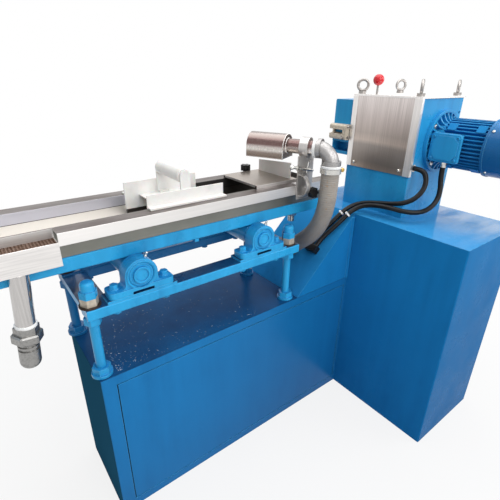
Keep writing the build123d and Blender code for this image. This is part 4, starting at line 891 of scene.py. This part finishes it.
def line_points(thing):
    """Points along a cord's line while it has no thickness."""
    bpy.context.view_layer.update()
    mesh = bpy.data.meshes.new_from_object(thing)
    points = [v.co.copy() for v in mesh.vertices]
    bpy.data.meshes.remove(mesh)
    return points


def run_length(points):
    """Length of a line of points."""
    return sum((b - a).length for a, b in zip(points, points[1:]))


def middle_of(low, high):
    """The middle of a box."""
    return (Vector(low) + Vector(high)) / 2


def four_ways(first):
    """Four angles a quarter turn apart, each with its way out from the motor's axis."""
    angles = [math.radians(first + 90 * quarter) for quarter in range(4)]
    return [(angle, Vector((math.cos(angle), 0, math.sin(angle)))) for angle in angles]


def hood_end():
    """The middle of the hood's near end, at its lower edge."""
    return Vector((*HOOD_END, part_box("air_hood")[0][2]))


# Operators

class SetStage(bpy.types.Operator):
    """Makes the camera, the floor, the lamps and the pale world"""

    bl_idname = "pelletizer.stage"
    bl_label = "Stage"

    def execute(self, context):
        context.scene.view_settings.view_transform = "Standard"
        self.camera(context)
        self.floor(context)
        self.lamps(context)
        self.world(context.scene)
        return {"FINISHED"}

    def camera(self, context):
        """The camera of the main view."""
        lens = bpy.data.cameras.new("camera")
        lens.lens = CAMERA_LENS
        lens.sensor_width = CAMERA_SENSOR
        lens.clip_start = 0.01
        view = bpy.data.objects.new("camera", lens)
        turn = Matrix((CAMERA_RIGHT, CAMERA_UP, CAMERA_BACK)).transposed().to_4x4()
        view.matrix_world = Matrix.Translation(CAMERA_PLACE) @ turn
        context.collection.objects.link(view)
        context.scene.camera = view

    def floor(self, context):
        """A wide mottled floor, which looks white where it is seen directly."""
        shape = bmesh.new()
        bmesh.ops.create_grid(shape, x_segments=1, y_segments=1, size=FLOOR_SIZE)
        mesh = bpy.data.meshes.new("studio_floor")
        shape.to_mesh(mesh)
        shape.free()
        mesh.materials.append(self.floor_finish())
        ground = bpy.data.objects.new("studio_floor", mesh)
        context.collection.objects.link(ground)

    def floor_finish(self):
        """Matt floor under a white that grows with the distance from the line."""
        tint = colours().floor
        material, shader = coat("studio_floor", tint, 0.0, 0.8)
        set_values(shader, {"Specular IOR Level": 0.1})
        mottled = spread(material, grain(material, 1.5), 0.0, 0.06)
        link(material, mix(material, mottled, tint, toned(tint, 0.9)), shader.inputs["Base Color"])
        place = add_node(material, "ShaderNodeTexCoord")
        away = add_node(material, "ShaderNodeVectorMath", operation="LENGTH")
        link(material, place.outputs["Object"], away.inputs[0])
        fade = spread(material, away.outputs["Value"], 0.82, 1.0, 0.6, 2.0)
        pale = add_node(material, "ShaderNodeEmission")
        set_values(pale, {"Strength": 1.0})
        share = times(material, self.seen(material), fade)
        out = material.node_tree.nodes["Material Output"]
        self.layer(material, share, shader.outputs["BSDF"], pale.outputs["Emission"], out)
        return material

    def lamps(self, context):
        """Broad lamps, each turned to its target."""
        for name, (place, target, size, power) in LAMPS.items():
            data = bpy.data.lights.new(name, "AREA")
            data.energy = power
            data.size = size
            lamp = bpy.data.objects.new(name, data)
            lamp.matrix_world = put(place, Vector(place) - Vector(target))
            context.collection.objects.link(lamp)

    def seen(self, owner):
        """1 where the camera, a reflection or clear matter sees the surface directly."""
        rays = add_node(owner, "ShaderNodeLightPath")
        value = rays.outputs["Is Camera Ray"]
        for name in ("Is Glossy Ray", "Is Transmission Ray"):
            value = reckon(owner, "MAXIMUM", value, rays.outputs[name])
        return value

    def layer(self, owner, share, under, over, out):
        """Shows one shader over another, by a share."""
        blend = add_node(owner, "ShaderNodeMixShader")
        link(owner, share, blend.inputs["Fac"])
        link(owner, under, blend.inputs[1])
        link(owner, over, blend.inputs[2])
        link(owner, blend.outputs["Shader"], out.inputs["Surface"])

    def world(self, scene):
        """A soft light from all around, which looks white where it is seen directly."""
        world = bpy.data.worlds.new("pale_world")
        scene.world = world
        world.use_nodes = True
        world.node_tree.nodes.clear()
        out = add_node(world, "ShaderNodeOutputWorld")
        soft = add_node(world, "ShaderNodeBackground")
        set_values(soft, {"Color": rgba(WORLD_TINT), "Strength": WORLD_STRENGTH})
        white = add_node(world, "ShaderNodeBackground")
        set_values(white, {"Color": (1.0, 1.0, 1.0, 1.0), "Strength": 1.0})
        self.layer(world, self.seen(world), soft.outputs["Background"], white.outputs["Background"], out)


class FitCables(bpy.types.Operator):
    """Lays the two black cables from the cutter down the slope, with their ties"""

    bl_idname = "pelletizer.cables"
    bl_label = "Cables"

    def execute(self, context):
        thick = sizes().cable
        for name, route in (("drive_cable", DRIVE_CABLE_ROUTE), ("motor_cable", MOTOR_CABLE_ROUTE)):
            thing = cord_curve(f"{name}_run", route)
            points = line_points(thing)
            thing.data.bevel_depth = thick / 2
            thing.data.bevel_resolution = 6
            thing.data.materials.append(finish("cable"))
            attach(thing, STAND)
            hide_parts(name)
            tie = self.tie(f"{name}_tie", points)
        return {"FINISHED"}

    def tie(self, name, points):
        """A nylon tie around a cable, where it bends over the cabinet's edge."""
        width, radius = sizes().tie_width, sizes().cable / 2
        near = min(range(1, len(points) - 1), key=lambda i: abs(points[i].x - TIE_PLACE))
        way = (points[near + 1] - points[near - 1]).normalized()
        shape = bmesh.new()
        outer, half = radius + 0.0018, width / 2
        band = [(radius, -half), (outer, -half), (outer, half), (radius, half), (radius, -half)]
        lathe(shape, band, points[near], way, 24)
        side = way.cross(NEAR).normalized()
        prism(shape, points[near] + side * radius, side, width * 0.75, 0.006, 4, 0.0006)
        return piece(name, shape, "nylon", STAND)


class FitHose(bpy.types.Operator):
    """Hangs the suction hose between the elbow and the spigot, and its clip's screw"""

    bl_idname = "pelletizer.hose"
    bl_label = "Hose"

    def execute(self, context):
        thick = sizes().hose
        guide = cord_curve("hose_line", HOSE_ROUTE)
        points = line_points(guide)
        bpy.data.objects.remove(guide)
        step, depth, steps_per_rib = 0.0016, 0.0006, 4
        fine = self.evened(points, step)
        ribs = [
            thick / 2 - depth + depth * math.cos(math.tau * index / steps_per_rib)
            for index in range(len(fine))
        ]
        shape = bmesh.new()
        sweep_tube(shape, fine, ribs, 40)
        thing = mesh_object("suction_hose_run", shape, "hose")
        thing.data.shade_smooth()
        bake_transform(thing)
        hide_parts("suction_hose")
        self.clip_screw()
        return {"FINISHED"}

    def evened(self, points, step):
        """The same line with points about a step apart."""
        whole = run_length(points)
        count = int(whole / step)
        made, index, passed = [points[0]], 0, 0.0
        for number in range(1, count + 1):
            target = whole * number / count
            while index < len(points) - 2 and passed + (points[index + 1] - points[index]).length < target:
                passed += (points[index + 1] - points[index]).length
                index += 1
            part = (points[index + 1] - points[index]).length
            made.append(points[index].lerp(points[index + 1], min(1.0, (target - passed) / part)))
        return made

    def clip_screw(self):
        """The brass screw that draws the hose clip together."""
        low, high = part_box("hose_clip")
        middle = middle_of(low, high)
        middle.x = high[0] - 0.008
        shape = bmesh.new()
        lathe(shape, CLIP_SCREW, middle, NEAR, 18)
        piece("hose_clip_screw", shape, "brass", TROUGH)


class PaintSolids(bpy.types.Operator):
    """Gives every solid its finish"""

    bl_idname = "pelletizer.paint"
    bl_label = "Paint"

    def execute(self, context):
        chosen = {node: name for name, nodes in NODE_FINISHES.items() for node in nodes}
        for node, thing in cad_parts.items():
            material = finish(chosen.get(node, "blue"))
            thing.data.materials.clear()
            thing.data.materials.append(material)
        return {"FINISHED"}


class FitBearingBolts(bpy.types.Operator):
    """Bolts the pillow blocks down, closes their bearings and screws in their grease nipples"""

    bl_idname = "pelletizer.bearing_bolts"
    bl_label = "Bearing bolts"

    def execute(self, context):
        across = sizes().pillow_bolt
        beam_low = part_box("lower_frame")[0][2]
        bolts, nipples, faces = bmesh.new(), bmesh.new(), bmesh.new()
        for name in PILLOWS:
            low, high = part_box(f"pillow_block_{name}")
            middle = middle_of(low, high)
            foot = low[2] + PILLOW_FOOT
            for way in (-1, 1):
                place = Vector((middle.x + way * PILLOW_BOLT_REACH, middle.y, foot))
                hex_bolt(bolts, place, UP, across, 0.3 * way)
                hex_bolt(bolts, (place.x, place.y, beam_low), DOWN, across, 0.2)
            axis = Vector((middle.x, middle.y, high[2] - PILLOW_AXIS_DROP))
            self.bearing_face(faces, axis, name.endswith("near"))
            top = Vector((middle.x + 0.020, middle.y, high[2] - 0.006))
            lean = Vector((0.45, 0, 0.9)).normalized()
            lathe(nipples, GREASE_NIPPLE, top, lean, 14)
        piece("pillow_bolts", bolts, "frame", STAND)
        piece("grease_nipples", nipples, "zinc", STAND)
        piece("bearing_faces", faces, "frame", STAND)
        return {"FINISHED"}

    def bearing_face(self, shape, middle, near):
        """The seal and the stepped collar that close a bearing's outer end."""
        way = NEAR if near else -NEAR
        for profile, reach in ((BEARING_SEAL, 0.012), (BEARING_COLLAR, 0.020)):
            lathe(shape, profile, middle + way * reach, way, 40)


class FitCutterScrews(bpy.types.Operator):
    """Puts in the fasteners of the cutter's cover and infeed guide, and of the motor"""

    bl_idname = "pelletizer.cutter_screws"
    bl_label = "Cutter screws"

    def execute(self, context):
        self.cover()
        self.guide()
        self.motor()
        self.terminal()
        return {"FINISHED"}

    def cover(self):
        """The two screws at the foot of the cutter's cover."""
        low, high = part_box("cutter_cover")
        shape = bmesh.new()
        inset, rise = 0.014, 0.016
        for y in (low[1] + inset, high[1] - inset):
            cap_screw(shape, (low[0], y, low[2] + rise), LEFT, sizes().screw_head, 0.7)
        piece("cover_screws", shape, "zinc", STAND)

    def guide(self):
        """The bolts of the cast infeed guide."""
        low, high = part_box("infeed_guide")
        shape = bmesh.new()
        for place, way, across, roll in (
            ((low[0], low[1] + 0.014, low[2] + 0.008), LEFT, 0.010, 0.2),
            ((low[0] + 0.010, low[1], high[2] - 0.007), NEAR, 0.008, 0.4),
            ((low[0] + 0.014, low[1], low[2] + 0.009), NEAR, 0.008, 0.1),
        ):
            hex_bolt(shape, place, way, across, roll)
        piece("guide_bolts", shape, "forged", STAND)

    def motor(self):
        """The bolts of the motor's flange and the screws of its cowl."""
        low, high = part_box("motor_flange")
        face = middle_of(low, high)
        face.y = high[1] - 0.004
        corner = sizes().flange_bolt / math.sqrt(3)
        bolts = bmesh.new()
        for angle, way in four_ways(52.5):
            prism(bolts, face + way * FLANGE_BOLT_CIRCLE, NEAR, corner, 0.011, 6, 0.0008, angle)
        piece("flange_bolts", bolts, "zinc", STAND)
        low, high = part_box("fan_cowl")
        rim = middle_of(low, high)
        rim.y = high[1] - 0.014
        screws = bmesh.new()
        for _, way in four_ways(50.0):
            cap_screw(screws, rim + way * (COWL_RADIUS - 0.0006), way, sizes().lid_screw)
        piece("cowl_screws", screws, "zinc", STAND)

    def terminal(self):
        """The four screws of the terminal box's lid."""
        low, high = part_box("terminal_box")
        shape = bmesh.new()
        inset, sunk = 0.011, 0.0025
        for y in (low[1] + inset, high[1] - inset):
            for z in (low[2] + inset, high[2] - inset):
                cap_screw(shape, (low[0] + sunk, y, z), LEFT, sizes().lid_screw)
        piece("lid_screws", shape, "cutter", STAND)


class FitScreen(bpy.types.Operator):
    """Lays the perforated screen over the overflow box"""

    bl_idname = "pelletizer.screen"
    bl_label = "Overflow screen"

    def execute(self, context):
        low, high = (Vector(corner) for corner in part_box("overflow_screen"))
        pitch, hole = sizes().screen_pitch, sizes().screen_hole
        across = int((high.x - low.x) / pitch)
        deep = int((high.y - low.y) / pitch)
        step = Vector(((high.x - low.x) / across, (high.y - low.y) / deep, 0))
        shape = bmesh.new()
        outer = [shape.verts.new((low.x + x * step.x, low.y + y * step.y, high.z))
                 for x, y in ((0, 0), (1, 0), (1, 1), (0, 1))]
        cell = shape.faces.new(outer)
        bmesh.ops.subdivide_edges(shape, edges=list(cell.edges), cuts=1)
        shape.faces.ensure_lookup_table()
        cell = shape.faces[0]
        middle = cell.calc_center_median()
        bmesh.ops.inset_individual(shape, faces=[cell], thickness=step.x * 0.1)
        for vert in cell.verts:
            away = vert.co - middle
            vert.co = middle + away.normalized() * hole / 2
        bmesh.ops.delete(shape, geom=[cell], context="FACES_ONLY")
        bmesh.ops.solidify(shape, geom=shape.faces[:], thickness=high.z - low.z)
        thing = mesh_object("overflow_screen_sheet", shape, "screen")
        for count, offset in ((across, (step.x, 0, 0)), (deep, (0, step.y, 0))):
            row = thing.modifiers.new("row", "ARRAY")
            row.use_relative_offset = False
            row.use_constant_offset = True
            row.constant_offset_displace = offset
            row.count = count
            row.use_merge_vertices = True
            row.merge_threshold = 0.0001
        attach(thing, TROUGH)
        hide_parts("overflow_screen")
        return {"FINISHED"}


class FitWelds(bpy.types.Operator):
    """Runs the weld beads around the hood's near end and its pipe"""

    bl_idname = "pelletizer.welds"
    bl_label = "Welds"

    def execute(self, context):
        width = sizes().weld
        near = hood_end()
        shape = bmesh.new()
        half_turn = [math.pi * index / 60 for index in range(61)]
        points = self.around(near + UP * HOOD_SIDE, HOOD_RADIUS, half_turn)
        for foot in (near + HOOD_CROSS * HOOD_RADIUS, near - HOOD_CROSS * HOOD_RADIUS):
            points += along(foot, foot + UP * HOOD_SIDE, width * 0.45)
        bead(shape, points, width * 0.62)
        whole_turn = [math.tau * index / 44 for index in range(44)]
        pipe = near + UP * PIPE_RISE + HOOD_WAY * 0.001
        bead(shape, self.around(pipe, PIPE_RADIUS, whole_turn), width * 0.8)
        piece("hood_welds", shape, "weld", TROUGH)
        return {"FINISHED"}

    def around(self, middle, radius, angles):
        """Places around a middle, in the plane of the hood's near end."""
        return [
            middle + HOOD_CROSS * radius * math.cos(angle) + UP * radius * math.sin(angle)
            for angle in angles
        ]


class FitHoodFittings(bpy.types.Operator):
    """Puts on the sealing rings of the suction pipe and the drain, and the hood bracket's clamp screw"""

    bl_idname = "pelletizer.hood_fittings"
    bl_label = "Hood fittings"

    def execute(self, context):
        rings = bmesh.new()
        inlet = hood_end() + UP * PIPE_RISE + HOOD_WAY * (PIPE_REACH - 0.0095)
        for place, axis, inner, outer, tall in (
            (inlet, HOOD_WAY, 0.0211, 0.0285, 0.0094),
            (Vector(HOSE_ROUTE[0]), DOWN, 0.0271, 0.0300, 0.0074),
            (DRAIN_END, DRAIN_WAY, 0.0196, 0.0220, 0.0070),
        ):
            soft = tall * 0.15
            profile = [(inner, 0), (outer - soft, 0), (outer, soft), (outer, tall - soft),
                       (outer - soft, tall), (inner, tall), (inner, 0)]
            lathe(rings, profile, place, axis, 40)
        piece("sealing_rings", rings, "sealing", TROUGH)
        self.clamp_screw()
        return {"FINISHED"}

    def clamp_screw(self):
        """The bracket's screw: a rod with a ball grip, a nut and a cross pin."""
        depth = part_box("hood_bracket")[0][1] + 0.0296
        start, end = Vector((0.150, depth, 0.9478)), Vector((0.238, depth, 0.9288))
        way = (end - start).normalized()
        whole = (end - start).length
        shape = bmesh.new()
        ball = 0.0072
        turns = [math.pi * step / 10 for step in range(1, 10)]
        grip = [(ball * math.sin(turn), ball * (1 - math.cos(turn))) for turn in turns]
        lathe(shape, [(0.0, 0.0), *grip, (0.0, ball * 2)], start - way * ball, way, 20)
        rod = [(0, 0), (0.0040, 0), (0.0040, whole - 0.001), (0.003, whole), (0, whole)]
        lathe(shape, rod, start, way, 18)
        prism(shape, start + way * 0.019, way, 0.0070, 0.007, 6, 0.0006)
        across = way.cross(NEAR).normalized()
        upward = across if across.z > 0 else -across
        lathe(shape, CROSS_PIN, start + way * 0.064, upward, 14)
        piece("clamp_screw", shape, "zinc", TROUGH)


class FitDrops(bpy.types.Operator):
    """Leaves water drops on the deck, most of them towards its left end and near side"""

    bl_idname = "pelletizer.drops"
    bl_label = "Water drops"

    def execute(self, context):
        low, high = (Vector(corner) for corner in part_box("base_box"))
        draw = random.Random(7)
        left_gap, margin, reach, lift = 0.05, 0.012, 0.50, 0.0001
        shape = bmesh.new()
        for _ in range(sizes().drops):
            x = low.x + left_gap + (high.x - low.x) * reach * draw.random() ** 2.0
            y = low.y + margin + (high.y - low.y - 2 * margin) * draw.random() ** 1.8
            size = sizes().drop * (0.25 + 0.75 * draw.random() ** 2)
            made = bmesh.ops.create_icosphere(shape, subdivisions=2, radius=size / 2)
            flat = Matrix.Diagonal((1, 0.7 + 0.6 * draw.random(), 0.38, 1))
            move = Matrix.Translation((x, y, high.z)) @ flat
            bmesh.ops.transform(shape, matrix=move, verts=made["verts"])
        bmesh.ops.bisect_plane(
            shape, geom=shape.verts[:] + shape.edges[:] + shape.faces[:],
            plane_co=(0, 0, high.z + lift), plane_no=DOWN, clear_outer=True,
        )
        bmesh.ops.holes_fill(shape, edges=[e for e in shape.edges if e.is_boundary], sides=0)
        piece("deck_drops", shape, "drops", STAND, 60.0)
        return {"FINISHED"}


class PelletizerPanel(bpy.types.Panel):
    """Lists the operators that dress the line"""

    bl_idname = "VIEW3D_PT_pelletizer"
    bl_label = "Pelletizing line"
    bl_space_type = "VIEW_3D"
    bl_region_type = "UI"
    bl_category = "Pelletizer"

    def draw(self, context):
        for operator in OPERATORS:
            self.layout.operator(operator.bl_idname)
        for group in (context.scene.line_sizes, context.scene.line_colours):
            for name in group.__annotations__:
                self.layout.prop(group, name)


OPERATORS = (
    SetStage, FitCables, FitHose, PaintSolids, FitBearingBolts, FitCutterScrews, FitScreen,
    FitWelds, FitHoodFittings, FitDrops,
)
CLASSES = (LineSizes, LineColours, *OPERATORS, PelletizerPanel)


def register():
    """Registers the classes and the settings that the scene holds."""
    for kind in CLASSES:
        bpy.utils.register_class(kind)
    bpy.types.Scene.line_sizes = PointerProperty(type=LineSizes)
    bpy.types.Scene.line_colours = PointerProperty(type=LineColours)


def unregister():
    """Takes the settings and the classes away."""
    del bpy.types.Scene.line_colours
    del bpy.types.Scene.line_sizes
    for kind in reversed(CLASSES):
        bpy.utils.unregister_class(kind)


def main():
    """Dresses the line."""
    register()
    bpy.ops.pelletizer.stage()
    bpy.ops.pelletizer.cables()
    bpy.ops.pelletizer.hose()
    bpy.ops.pelletizer.paint()
    bpy.ops.pelletizer.bearing_bolts()
    bpy.ops.pelletizer.cutter_screws()
    bpy.ops.pelletizer.screen()
    bpy.ops.pelletizer.welds()
    bpy.ops.pelletizer.hood_fittings()
    bpy.ops.pelletizer.drops()


if __name__ == "__main__":
    main()
